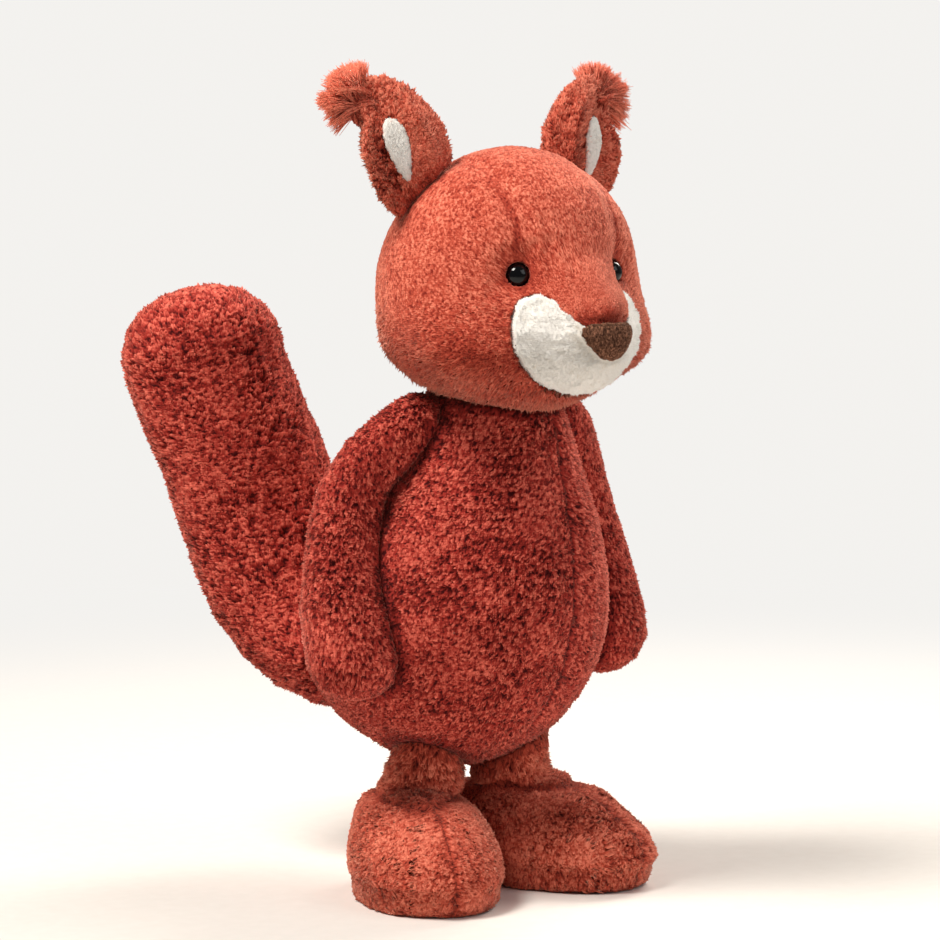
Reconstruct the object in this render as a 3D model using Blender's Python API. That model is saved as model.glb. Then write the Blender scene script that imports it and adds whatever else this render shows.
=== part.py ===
"""A sewn plush squirrel that stands on its two feet and faces -Y. Metres, +Z up.

Each stuffed member is a ball or a drawn-out ball whose vertices are moved to its form. Members that are sewn
to another one are cut back from it, so that each seats on its neighbour with one small running gap.
"""

import math

import bmesh
import bpy
from mathutils import Matrix, Vector

# The whole squirrel's height over its ears. All its own sizes below are for one of 306 mm, in millimetres,
# and follow this height. Bought-in parts, such as the eyes, and the fit between pieces keep their size.
HEIGHT = 0.306
MM = HEIGHT / 306.0

# Fit between pieces that touch
GAP = 0.0003

# Head: a ball with a broad snout, of two side panels and a gusset between them
HEAD_WIDTH = 99.0 * MM
HEAD_DEPTH = 91.0 * MM
HEAD_HEIGHT = 96.0 * MM
HEAD_FORWARD = 26.0 * MM
HEAD_LEVEL = 230.0 * MM
SNOUT_REACH = 16.5 * MM
SNOUT_DROP = 21.5 * MM
SNOUT_HEIGHT = 20.0 * MM
SNOUT_WIDTH = 21.5 * MM
# Swellings of the face in mm: aside, below the head's middle, how far, how broad.
CHEEKS = (41.0, 24.0, 6.5, 14.0)
CHIN = (0.0, 38.0, 4.0, 22.0)
BRIDGE = (0.0, 5.0, 4.2, 11.0)
CROWN_NARROWING = 0.07
CROWN_FORWARD = 2.4 * MM
JOWL_FULLNESS = 0.11
JOWL_DROP = 32.0 * MM
JOWL_HEIGHT = 15.0 * MM
GUSSET_HALF_WIDTH = 22.8 * MM
SEAM_DEPTH = 1.2 * MM

# Eyes: a glossy bead with a shank, held by a washer behind the cloth
EYE_DIAMETER = 0.0098
EYE_SPACING = 49.2 * MM
EYE_RISE = 2.9 * MM
EYE_SOCKET_DEPTH = 5.5 * MM
EYE_SOCKET_WIDTH = 10.5 * MM
EYE_SINK = 0.0022
SHANK_DIAMETER = 0.0030
SHANK_LENGTH = 0.0090
WASHER_DIAMETER = 0.0120
WASHER_THICKNESS = 0.0014
CLOTH_BEHIND_EYE = 0.0030

# Muzzle: a cream panel let into the front of the head
MUZZLE_HALF_WIDTH = 28.6 * MM
MUZZLE_LOBE_RISE = 19.0 * MM
MUZZLE_CHIN_DROP = 19.0 * MM
MUZZLE_LEVEL = HEAD_LEVEL - 23.0 * MM
MUZZLE_THICKNESS = 3.0 * MM
MUZZLE_PROUD = 1.0 * MM

# Nose: a suede pad on the muzzle
NOSE_WIDTH = 26.0 * MM
NOSE_HEIGHT = 16.6 * MM
NOSE_STANDOUT = 4.2 * MM
NOSE_LEVEL = MUZZLE_LEVEL + 3.5 * MM

# Ears: cupped leaves with a cream lining and a tuft at the tip.
# The leaf's middle line is (outward, up) from its root, with half widths along it.
EAR_PATH = ((-1.6, -7.0), (4.8, 10.0), (8.5, 22.5), (13.8, 32.5), (24.5, 38.5))
EAR_HALF_WIDTHS = (14.5, 18.0, 18.6, 13.8, 7.0)
EAR_THICKNESS = 10.5 * MM
EAR_CUP = 7.0 * MM
EAR_ROLL = 7.0 * MM
EAR_SPACING = 67.0 * MM
EAR_FORWARD = 18.0 * MM
EAR_LEVEL = HEAD_LEVEL + 30.5 * MM
EAR_LEAN_BACK = math.radians(8)
EAR_TURN_OUT = math.radians(3)
LINING_LENGTH = 26.0 * MM
LINING_WIDTH = 9.2 * MM
LINING_THICKNESS = 2.4 * MM
LINING_RISE = 26.0 * MM
LINING_SHIFT = 3.8 * MM
TUFT_LENGTH = 22.0 * MM
TUFT_DIRECTION = math.radians(5)
TUFT_SPREAD = math.radians(48)
TUFT_LOCK_RADIUS = 2.6 * MM
TUFT_LOCKS = 6

# Torso: a pear that leans forward towards the neck, as (level, percent of the half girth, set back)
TORSO_WIDTH = 111.0 * MM
TORSO_DEPTH = 118.0 * MM
TORSO_FORM = (
    (45.0, 0.0, 9.0),
    (46.2, 25.0, 9.0),
    (51.0, 46.0, 9.5),
    (60.0, 69.0, 10.0),
    (70.0, 85.0, 10.5),
    (80.0, 94.5, 9.5),
    (91.0, 99.5, 8.0),
    (106.0, 100.0, 5.0),
    (122.0, 94.5, 1.5),
    (137.0, 84.5, -3.0),
    (150.0, 74.5, -6.5),
    (165.0, 61.5, -10.5),
    (180.0, 49.5, -15.0),
    (190.0, 41.0, -17.0),
    (197.0, 25.0, -18.0),
    (200.0, 0.0, -18.0),
)

# Arms: the left one's middle line from inside the shoulder to the paw, and radii along it
ARM_PATH = (
    (22.0, -16.0, 184.0),
    (40.0, -8.0, 169.0),
    (50.0, 1.0, 152.0),
    (56.0, -2.0, 119.0),
    (57.0, -9.0, 94.0),
    (56.5, -10.5, 76.0),
)
ARM_RADII = (11.0, 12.2, 14.8, 18.2, 19.8)
ARM_BREADTH = 0.90

# Legs: a short shank on a broad foot that turns out, over a sewn-in sole
LEG_HALF_SPAN = 23.3 * MM
LEG_BACK_SET = -1.0 * MM
LEG_RADIUS = 15.8 * MM
LEG_TOP = 72.0 * MM
LEG_SPLAY = 4.6 * MM
LEG_SLOPE = 12.0 * MM
SHANK_BACK_SET = 7.0 * MM
FOOT_LENGTH = 88.0 * MM
FOOT_WIDTH = 60.0 * MM
FOOT_HEIGHT = 42.0 * MM
FOOT_FORWARD = 13.5 * MM
FOOT_ASIDE = 1.8 * MM
FOOT_TURN_OUT = math.radians(20)
FOOT_SEAM_DEPTH = 1.6 * MM
SOLE_THICKNESS = 2.6 * MM
SOLE_INSET = 4.5 * MM

# Pellet bags: weight the feet, so that the tail does not pull the squirrel over
PELLET_LENGTH = 56.0 * MM
PELLET_WIDTH = 38.0 * MM
PELLET_HEIGHT = 20.0 * MM
PELLET_FORWARD = 6.0 * MM

# Tail: leaves the low back, turns up and leans back and to the squirrel's right
TAIL_PATH = (
    (0.0, 44.0, 83.0),
    (-7.0, 66.0, 85.0),
    (-17.0, 82.5, 100.0),
    (-27.5, 93.0, 128.0),
    (-37.5, 100.0, 161.0),
    (-46.5, 107.5, 190.0),
    (-52.5, 110.5, 222.0),
)
TAIL_RADII = (25.0, 26.0, 26.0, 24.0, 23.5, 23.5, 23.5)
TAIL_BREADTH = 1.44

# Facets round and along each form
HEAD_SIDES, HEAD_RINGS = 32, 22
TORSO_SIDES, TORSO_RINGS = 28, 18
LIMB_SIDES, LIMB_RINGS = 18, 14
TAIL_SIDES, TAIL_RINGS = 20, 18
EAR_SIDES, EAR_RINGS = 16, 12
FOOT_SIDES, FOOT_RINGS = 22, 12
SOLE_RINGS = 6
PELLET_SIDES, PELLET_RINGS = 14, 7
NOSE_SIDES, NOSE_RINGS = 18, 8
TURNED_STEPS = 16
LOCK_SIDES, LOCK_RINGS = 5, 4
OUTLINE_STEPS = 3

HEAD_CENTRE = Vector((0.0, -HEAD_FORWARD, HEAD_LEVEL))
FRONT = Vector((0.0, -1.0, 0.0))
SIDES = {"left": 1.0, "right": -1.0}

# Base colours, as linear red, green and blue, with roughness
FINISHES = {
    "red_plush": ((0.42, 0.085, 0.052), 0.95),
    "cream_plush": ((0.86, 0.79, 0.71), 0.95),
    "brown_suede": ((0.105, 0.052, 0.031), 0.9),
    "black_bead": ((0.006, 0.006, 0.008), 0.08),
    "washer_nylon": ((0.72, 0.70, 0.66), 0.5),
    "pellet_bag": ((0.55, 0.53, 0.50), 0.8),
}


def clear_scene():
    for leftover in list(bpy.data.objects):
        bpy.data.objects.remove(leftover)


def new_collection(name):
    made = bpy.data.collections.new(name)
    bpy.context.scene.collection.children.link(made)
    return made


clear_scene()
SQUIRREL = new_collection("plush_squirrel")
CUTTERS = new_collection("cutters")
STAND = bpy.data.objects.new("stand_point", None)
SQUIRREL.objects.link(STAND)


def material(name):
    """The material of that finish, made once."""
    found = bpy.data.materials.get(name)
    if found:
        return found
    colour, roughness = FINISHES[name]
    made = bpy.data.materials.new(name)
    made.use_nodes = True
    surface = made.node_tree.nodes["Principled BSDF"]
    surface.inputs["Base Color"].default_value = (*colour, 1.0)
    surface.inputs["Roughness"].default_value = roughness
    return made


def piece(name, mesh, finish, at=(0.0, 0.0, 0.0)):
    """A named part of the squirrel, which stands on the common stand point."""
    made = bpy.data.objects.new(name, mesh)
    made.location = at
    made.parent = STAND
    made.data.materials.clear()
    made.data.materials.append(material(finish))
    made.data.shade_smooth()
    SQUIRREL.objects.link(made)
    return made


def cutter(name, mesh, at=(0.0, 0.0, 0.0)):
    """A hidden tool that cuts or joins."""
    made = bpy.data.objects.new(name, mesh)
    made.location = at
    made.parent = STAND
    made.hide_render = True
    made.display_type = "WIRE"
    CUTTERS.objects.link(made)
    return made


def combine(target, tool, operation):
    step = target.modifiers.new(f"{operation.lower()} {tool.name}", "BOOLEAN")
    step.operation = operation
    step.object = tool
    step.solver = "EXACT"


def grown(source, name, by):
    """A cutter with the form of source, its faces moved out by that much."""
    made = cutter(name, source.data, source.location)
    made.rotation_euler = source.rotation_euler
    swell = made.modifiers.new("swell", "DISPLACE")
    swell.strength = by
    swell.mid_level = 0.0
    return made


def mesh_from(shape, name):
    """The finished mesh, in triangles, so that a grown copy keeps the same facets at the same gap."""
    mesh = bpy.data.meshes.new(name)
    bmesh.ops.triangulate(shape, faces=shape.faces, quad_method="FIXED")
    bmesh.ops.recalc_face_normals(shape, faces=shape.faces)
    if shape.calc_volume(signed=True) < 0:
        bmesh.ops.reverse_faces(shape, faces=shape.faces)
    shape.to_mesh(mesh)
    shape.free()
    return mesh


def ball_mesh(name, sides, rings, place, poles="Z"):
    """A closed ball whose vertices go to place(direction), with its poles on that axis."""
    shape = bmesh.new()
    bmesh.ops.create_uvsphere(shape, u_segments=sides, v_segments=rings, radius=1.0)
    if poles != "Z":
        turn = Matrix.Rotation(math.radians(90.0), 3, "Y" if poles == "X" else "X")
        bmesh.ops.rotate(shape, verts=shape.verts, matrix=turn)
    for vertex in shape.verts:
        vertex.co = place(vertex.co.normalized())
    return mesh_from(shape, name)


def in_metres(sizes):
    return [size * MM for size in sizes]


def hump(distance, width):
    """A smooth bump, 1 at no distance and fading over that width."""
    return math.exp(-((distance / width) ** 2))


def eased(share):
    share = min(max(share, 0.0), 1.0)
    return share * share * (3.0 - 2.0 * share)


def between(stations, share):
    """A value read smoothly from evenly spaced stations."""
    place = min(max(share, 0.0), 1.0) * (len(stations) - 1)
    index = min(int(place), len(stations) - 2)
    step = eased(place - index)
    return stations[index] * (1.0 - step) + stations[index + 1] * step


class Spine:
    """A smooth line through a few points, with a frame at each share of its length."""

    STEPS = 24

    def __init__(self, points, level):
        self.level = Vector(level)
        ends = [points[0] * 2 - points[1], *points, points[-1] * 2 - points[-2]]
        self.line = [points[0]]
        for a, b, c, d in zip(ends, ends[1:], ends[2:], ends[3:]):
            for step in range(1, self.STEPS + 1):
                t = step / self.STEPS
                self.line.append(
                    0.5 * (2 * b + (c - a) * t + (2 * a - 5 * b + 4 * c - d) * t**2 + (3 * b - a - 3 * c + d) * t**3)
                )
        self.length = sum((q - p).length for p, q in zip(self.line, self.line[1:]))

    def at(self, share):
        """The point there, and the directions across and over the line."""
        left = share * self.length
        for p, q in zip(self.line, self.line[1:]):
            run = (q - p).length
            if left <= run or q is self.line[-1]:
                break
            left -= run
        along = (q - p).normalized()
        across = along.cross(self.level).normalized()
        return p + along * left, across, across.cross(along)


def limb_mesh(name, spine, radii, sides, rings, breadth=1.0):
    """A stuffed tube with round ends, drawn out along a spine. Its radius follows the stations."""

    def place(direction):
        share = (1.0 - direction.z) / 2.0
        point, across, over = spine.at(share)
        start, end = radii[0], radii[-1]
        gone, left = share * spine.length, (1.0 - share) * spine.length
        cap = math.sqrt(max(0.0, 1.0 - max(0.0, 1.0 - gone / start) ** 2))
        cap *= math.sqrt(max(0.0, 1.0 - max(0.0, 1.0 - left / end) ** 2))
        radius = between(radii, share) * cap
        round_it = math.atan2(direction.y, direction.x)
        return point + across * radius * math.cos(round_it) + over * radius * breadth * math.sin(round_it)

    return ball_mesh(name, sides, rings, place)


def turned_mesh(name, profile):
    """A turned solid from (radius, height) points, which run down its outer side."""
    shape = bmesh.new()
    points = [shape.verts.new((radius, 0.0, height)) for radius, height in profile]
    for first, second in zip(points, points[1:]):
        shape.edges.new((first, second))
    bmesh.ops.spin(
        shape,
        geom=shape.verts[:] + shape.edges[:],
        cent=(0.0, 0.0, 0.0),
        axis=(0.0, 0.0, 1.0),
        angle=math.tau,
        steps=TURNED_STEPS,
        use_merge=True,
    )
    bmesh.ops.remove_doubles(shape, verts=shape.verts, dist=1e-6)
    return mesh_from(shape, name)


def head_point(direction):
    """Where the head's surface lies in that direction from its centre."""
    x, y, z = direction
    high = z * HEAD_HEIGHT / 2
    full = 1.0 + JOWL_FULLNESS * hump(high + JOWL_DROP, JOWL_HEIGHT)
    wide = x * HEAD_WIDTH / 2 * (1.0 - CROWN_NARROWING * z) * full
    deep = y * HEAD_DEPTH / 2 * full - CROWN_FORWARD * eased(z / 0.8)
    fade = hump(high + SNOUT_DROP, SNOUT_HEIGHT) * hump(wide, SNOUT_WIDTH)
    deep -= SNOUT_REACH * fade * eased(-y / 0.7)
    point = Vector((wide, deep, high))
    for aside, below, swell, breadth in (CHEEKS, CHIN, BRIDGE):
        away = math.hypot(abs(wide) - aside * MM, high + below * MM)
        point += direction * swell * MM * hump(away, breadth * MM) * eased(-y / 0.5)
    for side in SIDES.values():
        reach = (direction - eye_direction(side)).length * HEAD_WIDTH / 2
        point -= direction * EYE_SOCKET_DEPTH * hump(reach, EYE_SOCKET_WIDTH)
    return point


def eye_direction(side):
    across = EYE_SPACING / HEAD_WIDTH
    rise = EYE_RISE / (HEAD_HEIGHT / 2)
    return Vector((side * across, -math.sqrt(1.0 - across**2 - rise**2), rise))


def make_head():
    """The head, with its rings of vertices across X so that one lies on each gusset seam."""
    seam_ring = 7
    ring_share = math.cos(math.pi * seam_ring / HEAD_RINGS)
    power = math.log(GUSSET_HALF_WIDTH / (HEAD_WIDTH / 2)) / math.log(ring_share)

    def place(direction):
        x = math.copysign(abs(direction.x) ** power, direction.x)
        round_it = math.hypot(direction.y, direction.z)
        scale = math.sqrt(max(0.0, 1.0 - x * x)) / max(round_it, 1e-9)
        moved = Vector((x, direction.y * scale, direction.z * scale))
        point = head_point(moved)
        on_seam = abs(abs(direction.x) - ring_share) < 1e-4
        above_face = moved.z > 0.12 or moved.y > 0.2
        if on_seam and above_face:
            point -= moved * SEAM_DEPTH
        return point

    mesh = ball_mesh("head_form", HEAD_SIDES, HEAD_RINGS, place, poles="X")
    return piece("head", mesh, "red_plush", HEAD_CENTRE)


def muzzle_outline():
    """A bean with two raised lobes and a dip between them for the nose, as (x, z) from its middle."""
    half = [
        (0.0, MUZZLE_LOBE_RISE * 0.32),
        (MUZZLE_HALF_WIDTH * 0.36, MUZZLE_LOBE_RISE * 0.46),
        (MUZZLE_HALF_WIDTH * 0.66, MUZZLE_LOBE_RISE),
        (MUZZLE_HALF_WIDTH, MUZZLE_LOBE_RISE * 0.24),
        (MUZZLE_HALF_WIDTH * 0.73, -MUZZLE_CHIN_DROP * 0.45),
        (MUZZLE_HALF_WIDTH * 0.36, -MUZZLE_CHIN_DROP * 0.79),
        (0.0, -MUZZLE_CHIN_DROP * 0.9),
    ]
    return half + [(-x, z) for x, z in half[-2:0:-1]]


def outline_prism(name, outline, growth):
    """A prism along Y with that outline, smooth between its points and grown by that much."""
    curve = bpy.data.curves.new(name, "CURVE")
    curve.dimensions = "2D"
    curve.fill_mode = "BOTH"
    curve.extrude = HEAD_DEPTH
    curve.offset = growth
    curve.resolution_u = OUTLINE_STEPS
    line = curve.splines.new("BEZIER")
    line.bezier_points.add(len(outline) - 1)
    line.use_cyclic_u = True
    for knot, (x, z) in zip(line.bezier_points, outline):
        knot.co = (x, z, 0.0)
        knot.handle_left_type = knot.handle_right_type = "AUTO"
    drawn = bpy.data.objects.new(name, curve)
    CUTTERS.objects.link(drawn)
    drawn.rotation_euler = (math.radians(90.0), 0.0, 0.0)
    drawn.location = (0.0, -HEAD_DEPTH - HEAD_FORWARD, MUZZLE_LEVEL)
    bpy.context.view_layer.update()
    graph = bpy.context.evaluated_depsgraph_get()
    mesh = bpy.data.meshes.new_from_object(drawn.evaluated_get(graph))
    mesh.transform(drawn.matrix_world)
    bpy.data.objects.remove(drawn)
    shape = bmesh.new()
    shape.from_mesh(mesh)
    bmesh.ops.remove_doubles(shape, verts=shape.verts, dist=1e-6)
    return cutter(name, mesh_from(shape, name))


def make_muzzle(head):
    """The cream panel, and the recess in the head that takes it."""
    outline = muzzle_outline()
    floor = grown(head, "muzzle_floor", GAP - MUZZLE_THICKNESS)
    muzzle = piece("muzzle", head.data.copy(), "cream_plush", HEAD_CENTRE)
    swell = muzzle.modifiers.new("stand proud", "DISPLACE")
    swell.strength = MUZZLE_PROUD
    swell.mid_level = 0.0
    combine(muzzle, outline_prism("muzzle_shape", outline, 0.0), "INTERSECT")
    combine(muzzle, floor, "DIFFERENCE")
    recess = outline_prism("muzzle_recess", outline, GAP)
    combine(recess, grown(head, "recess_floor", -MUZZLE_THICKNESS), "DIFFERENCE")
    combine(head, recess, "DIFFERENCE")


def nose_radius(angle):
    """The outline of a rounded triangle with its point down, as a share of its half width."""
    return 0.87 + 0.13 * math.cos(3.0 * (angle - math.radians(30.0)))


def front_of_head(x, z):
    """The head's front surface straight ahead of (x, z), all measured from the head's centre."""
    high = z / (HEAD_HEIGHT / 2)
    wide = x / (HEAD_WIDTH / 2 * (1.0 - CROWN_NARROWING * high))
    deep = -math.sqrt(max(0.0, 1.0 - wide * wide - high * high))
    return head_point(Vector((wide, deep, high))).y


def make_nose(head):
    """A domed suede pad that follows the front of the muzzle."""

    def place(direction):
        angle = math.atan2(direction.z, direction.x)
        flat = math.hypot(direction.x, direction.z) * nose_radius(angle)
        x = flat * math.cos(angle) * NOSE_WIDTH / 2
        z = flat * math.sin(angle) * NOSE_HEIGHT / 2 + NOSE_LEVEL - HEAD_LEVEL
        if direction.y < 0:
            lift = MUZZLE_PROUD + NOSE_STANDOUT * (-direction.y) ** 0.7
        else:
            lift = MUZZLE_PROUD - MUZZLE_THICKNESS * direction.y
        return Vector((x, front_of_head(x, z) - lift, z))

    nose = piece("nose", ball_mesh("nose_form", NOSE_SIDES, NOSE_RINGS, place, "Y"), "brown_suede", HEAD_CENTRE)
    combine(nose, grown(head, "nose_seat", MUZZLE_PROUD + GAP), "DIFFERENCE")


def eye_frame(side):
    """The eye's centre and the direction that it looks in."""
    direction = eye_direction(side)
    surface = HEAD_CENTRE + head_point(direction)
    outward = Vector((direction.x * 0.85, direction.y, direction.z)).normalized()
    return surface - outward * EYE_SINK, outward


def make_eye(head, name, side):
    """A bead and its shank in one, the washer that holds it, and their room in the head."""
    centre, outward = eye_frame(side)
    turn = outward.to_track_quat("Z", "Y").to_euler()
    radius = EYE_DIAMETER / 2
    back = -radius * 0.35
    shank = SHANK_DIAMETER / 2
    steps = 5
    widest_turn = math.pi / 2 + math.asin(0.35)
    angles = [widest_turn * step / steps for step in range(steps + 1)]

    def dome(size):
        return [(size * math.sin(angle), size * math.cos(angle)) for angle in angles]

    bead = dome(radius) + [(shank, back), (shank, back - SHANK_LENGTH), (0.0, back - SHANK_LENGTH)]
    eye = piece(f"eye_{name}", turned_mesh("eye_form", bead), "black_bead", centre)
    eye.rotation_euler = turn

    front = back - CLOTH_BEHIND_EYE
    rear = front - WASHER_THICKNESS
    hole = shank + GAP
    rim = WASHER_DIAMETER / 2
    ring = [(hole, front), (rim, front), (rim, rear), (hole, rear), (hole, front)]
    washer = piece(f"eye_washer_{name}", turned_mesh("washer_form", ring), "washer_nylon", centre)
    washer.rotation_euler = turn

    room = dome(radius + GAP)
    room += [(hole, back - GAP), (hole, front + GAP), (rim + GAP, front + GAP), (rim + GAP, rear - GAP)]
    room += [(hole, rear - GAP), (hole, back - SHANK_LENGTH - GAP), (0.0, back - SHANK_LENGTH - GAP)]
    socket = cutter(f"eye_room_{name}", turned_mesh("eye_room_form", room), centre)
    socket.rotation_euler = turn
    combine(head, socket, "DIFFERENCE")


def make_torso():
    """A turned pear of two panels. It sits turned on its legs, so the seams are off the middle."""
    seam_turn = math.tau / TORSO_SIDES
    half_girth = TORSO_WIDTH / 2
    stations = [Vector((girth / 100 * half_girth, lean * MM, level * MM)) for level, girth, lean in TORSO_FORM]
    outline = Spine(stations, (0.0, 1.0, 0.0))

    def place(direction):
        share = math.acos(min(max(-direction.z, -1.0), 1.0)) / math.pi
        girth, lean, level = outline.at(share)[0]
        round_it = math.atan2(direction.y, direction.x)
        wide = girth * math.cos(round_it)
        deep = girth * TORSO_DEPTH / TORSO_WIDTH * math.sin(round_it)
        if abs(math.cos(round_it - seam_turn)) < 1e-4 and girth > half_girth * 0.1:
            deep -= math.copysign(SEAM_DEPTH, direction.y)
        return Vector((wide, deep + lean, level))

    return piece("torso", ball_mesh("torso_form", TORSO_SIDES, TORSO_RINGS, place), "red_plush")


def make_arm(name, side):
    """From inside the shoulder, over it and down beside the belly to the paw."""
    spine = Spine([Vector((side * x, y, z)) * MM for x, y, z in ARM_PATH], (0.0, 1.0, 0.0))
    mesh = limb_mesh("arm_form", spine, in_metres(ARM_RADII), LIMB_SIDES, LIMB_RINGS, ARM_BREADTH)
    return piece(f"arm_{name}", mesh, "red_plush")


def foot_frame(side):
    """The foot's middle on the ground, and its forward and sideways directions."""
    turn = FOOT_TURN_OUT * side
    forward = Vector((math.sin(turn), -math.cos(turn), 0.0))
    sideways = Vector((-forward.y, forward.x, 0.0))
    ankle = Vector((side * (LEG_HALF_SPAN + FOOT_ASIDE), LEG_BACK_SET, 0.0))
    return ankle + forward * FOOT_FORWARD, forward, sideways


def foot_outline(angle, inset=0.0):
    """(forward, sideways) on the foot's outline, which is broader at the toes than at the heel."""
    forward = (FOOT_LENGTH / 2 - inset) * math.cos(angle)
    sideways = (FOOT_WIDTH / 2 - inset) * math.sin(angle) * (0.93 + 0.09 * math.cos(angle))
    return forward, sideways


def make_foot_form(name, side):
    """A low egg, flat below, whose instep slopes up to the ankle, with a seam down its front."""
    middle, forward, sideways = foot_frame(side)
    floor = SOLE_THICKNESS + GAP
    waist = FOOT_HEIGHT * 0.27

    def place(direction):
        angle = math.atan2(direction.y, direction.x)
        out = math.hypot(direction.x, direction.y)
        instep = FOOT_FORWARD * eased(direction.z)
        if direction.z < 0:
            out = out**0.45
            high = waist + (floor - waist) * eased(-direction.z * 1.6)
            out *= 1.0 - 0.10 * eased(-direction.z * 1.6)
        else:
            high = waist + (FOOT_HEIGHT - waist) * direction.z
        ahead, aside = foot_outline(angle)
        on_seam = direction.x > 0 and abs(direction.y) < 1e-4 and out > 0.35
        if on_seam:
            ahead -= FOOT_SEAM_DEPTH
            high = max(floor, high - FOOT_SEAM_DEPTH * eased(direction.z))
        return forward * (ahead * out - instep) + sideways * aside * out + Vector((0.0, 0.0, high))

    mesh = ball_mesh("foot_form", FOOT_SIDES, FOOT_RINGS, place)
    return cutter(f"foot_{name}", mesh, middle)


def make_leg(name, side):
    """The shank, which broadens down to a crease where it joins its foot."""
    ankle = Vector((side * LEG_HALF_SPAN, LEG_BACK_SET + SHANK_BACK_SET, 0.0))
    hip = ankle + Vector((-side * LEG_SPLAY, -LEG_SLOPE, LEG_TOP))
    spine = Spine(
        [
            hip,
            hip.lerp(ankle, 0.5),
            ankle + Vector((side * LEG_SPLAY, LEG_SLOPE / 2, FOOT_HEIGHT * 0.25)),
        ],
        (0.0, 1.0, 0.0),
    )
    radii = (LEG_RADIUS * 0.74, LEG_RADIUS * 0.86, LEG_RADIUS * 1.08, LEG_RADIUS)
    mesh = limb_mesh("leg_form", spine, radii, LIMB_SIDES, 10)
    leg = piece(f"leg_{name}", mesh, "red_plush")
    combine(leg, make_foot_form(name, side), "UNION")
    return leg


def make_pellet_bag(name, side, leg):
    """A bag of pellets in the foot. It lies on the sole, in a pocket that the sole closes."""
    middle, forward, sideways = foot_frame(side)
    floor = SOLE_THICKNESS + GAP

    def place(direction):
        out = math.hypot(direction.x, direction.y) ** 0.6
        round_it = math.atan2(direction.y, direction.x)
        ahead = PELLET_LENGTH / 2 * out * math.cos(round_it) + PELLET_FORWARD
        aside = PELLET_WIDTH / 2 * out * math.sin(round_it)
        level = floor + PELLET_HEIGHT * eased((direction.z + 1.0) / 2.0)
        return forward * ahead + sideways * aside + Vector((0.0, 0.0, level))

    mesh = ball_mesh("pellet_form", PELLET_SIDES, PELLET_RINGS, place)
    bag = piece(f"pellet_bag_{name}", mesh, "pellet_bag", middle)
    combine(leg, grown(bag, f"pellet_pocket_{name}", GAP), "DIFFERENCE")


def make_sole(name, side):
    """The flat panel sewn in under a foot, with a rolled edge."""
    middle, forward, sideways = foot_frame(side)

    def place(direction):
        angle = math.atan2(direction.y, direction.x)
        out = math.hypot(direction.x, direction.y) ** 0.25
        ahead, aside = foot_outline(angle, SOLE_INSET)
        level = SOLE_THICKNESS / 2 * (1.0 + math.copysign(eased(abs(direction.z) * 1.5), direction.z))
        return forward * ahead * out + sideways * aside * out + Vector((0.0, 0.0, level))

    mesh = ball_mesh("sole_form", FOOT_SIDES, SOLE_RINGS, place)
    piece(f"sole_{name}", mesh, "red_plush", middle)


def make_tail():
    """Thick and round-ended, out of the low back and up behind it."""
    spine = Spine([Vector(point) * MM for point in TAIL_PATH], (1.0, 0.0, 0.0))
    mesh = limb_mesh("tail_form", spine, in_metres(TAIL_RADII), TAIL_SIDES, TAIL_RINGS, TAIL_BREADTH)
    return piece("tail", mesh, "red_plush")


def ear_frame(side):
    """The ear's root, with its directions upward, outward and out of its open face."""
    root = Vector((side * EAR_SPACING / 2, -EAR_FORWARD, EAR_LEVEL))
    facing = Vector((side * math.sin(EAR_TURN_OUT), -math.cos(EAR_TURN_OUT), 0.0))
    upward = Vector((0.0, 0.0, 1.0)) - facing * math.tan(EAR_LEAN_BACK)
    facing = (facing + Vector((0.0, 0.0, math.tan(EAR_LEAN_BACK)))).normalized()
    upward.normalize()
    return root, upward, facing.cross(upward) * -side, facing


def ear_sheet(side):
    """place(share, across, out) for a point of the cupped ear, share along its middle line.

    A roll of stuffing fills the inner half of its front, so that the ear opens to the side.
    """
    root, upward, outward, facing = ear_frame(side)
    spine = Spine([root + (outward * x + upward * z) * MM for x, z in EAR_PATH], facing)
    half_widths = in_metres(EAR_HALF_WIDTHS)

    def place(share, across, out):
        middle, sideways, _ = spine.at(share)
        half = between(half_widths, share)
        lift = out + EAR_CUP * (across**2 - 0.5)
        in_front = min(max(out, 0.0) / (EAR_THICKNESS / 2), 1.0)
        lift += EAR_ROLL * hump(across + 0.35, 0.42) * in_front * eased(2.5 - 2.5 * share)
        return middle + sideways * across * half * side + facing * lift

    return place


def make_ear(name, side):
    """A cupped leaf that bends outward to its tip."""
    sheet = ear_sheet(side)

    def place(direction):
        share = (1.0 - direction.z) / 2.0
        edge = math.hypot(direction.x, direction.y)
        angle = math.atan2(direction.y, direction.x)
        out = EAR_THICKNESS / 2 * math.sin(angle) * edge**0.6
        return sheet(share, math.cos(angle) * edge**0.45, out)

    return piece(f"ear_{name}", ball_mesh("ear_form", EAR_SIDES, EAR_RINGS, place), "red_plush")


def make_lining(name, side, ear):
    """The cream leaf that lies in the cup of the ear, pointed below."""
    sheet = ear_sheet(side)
    length = sum(math.dist(a, b) for a, b in zip(EAR_PATH, EAR_PATH[1:])) * MM
    broadest = max(EAR_HALF_WIDTHS) * MM
    middle = LINING_RISE / length
    reach = LINING_LENGTH / 2 / length
    half = LINING_WIDTH / 2 / broadest
    shift = LINING_SHIFT / broadest

    def place(direction):
        across = shift + half * direction.x * (1.0 - 0.35 * direction.z)
        lift = EAR_THICKNESS / 2 + LINING_THICKNESS * direction.y
        return sheet(middle - reach * direction.z, across, lift)

    lining = piece(f"ear_lining_{name}", ball_mesh("lining_form", 14, 9, place), "cream_plush")
    combine(lining, ear, "DIFFERENCE")
    return lining


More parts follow.
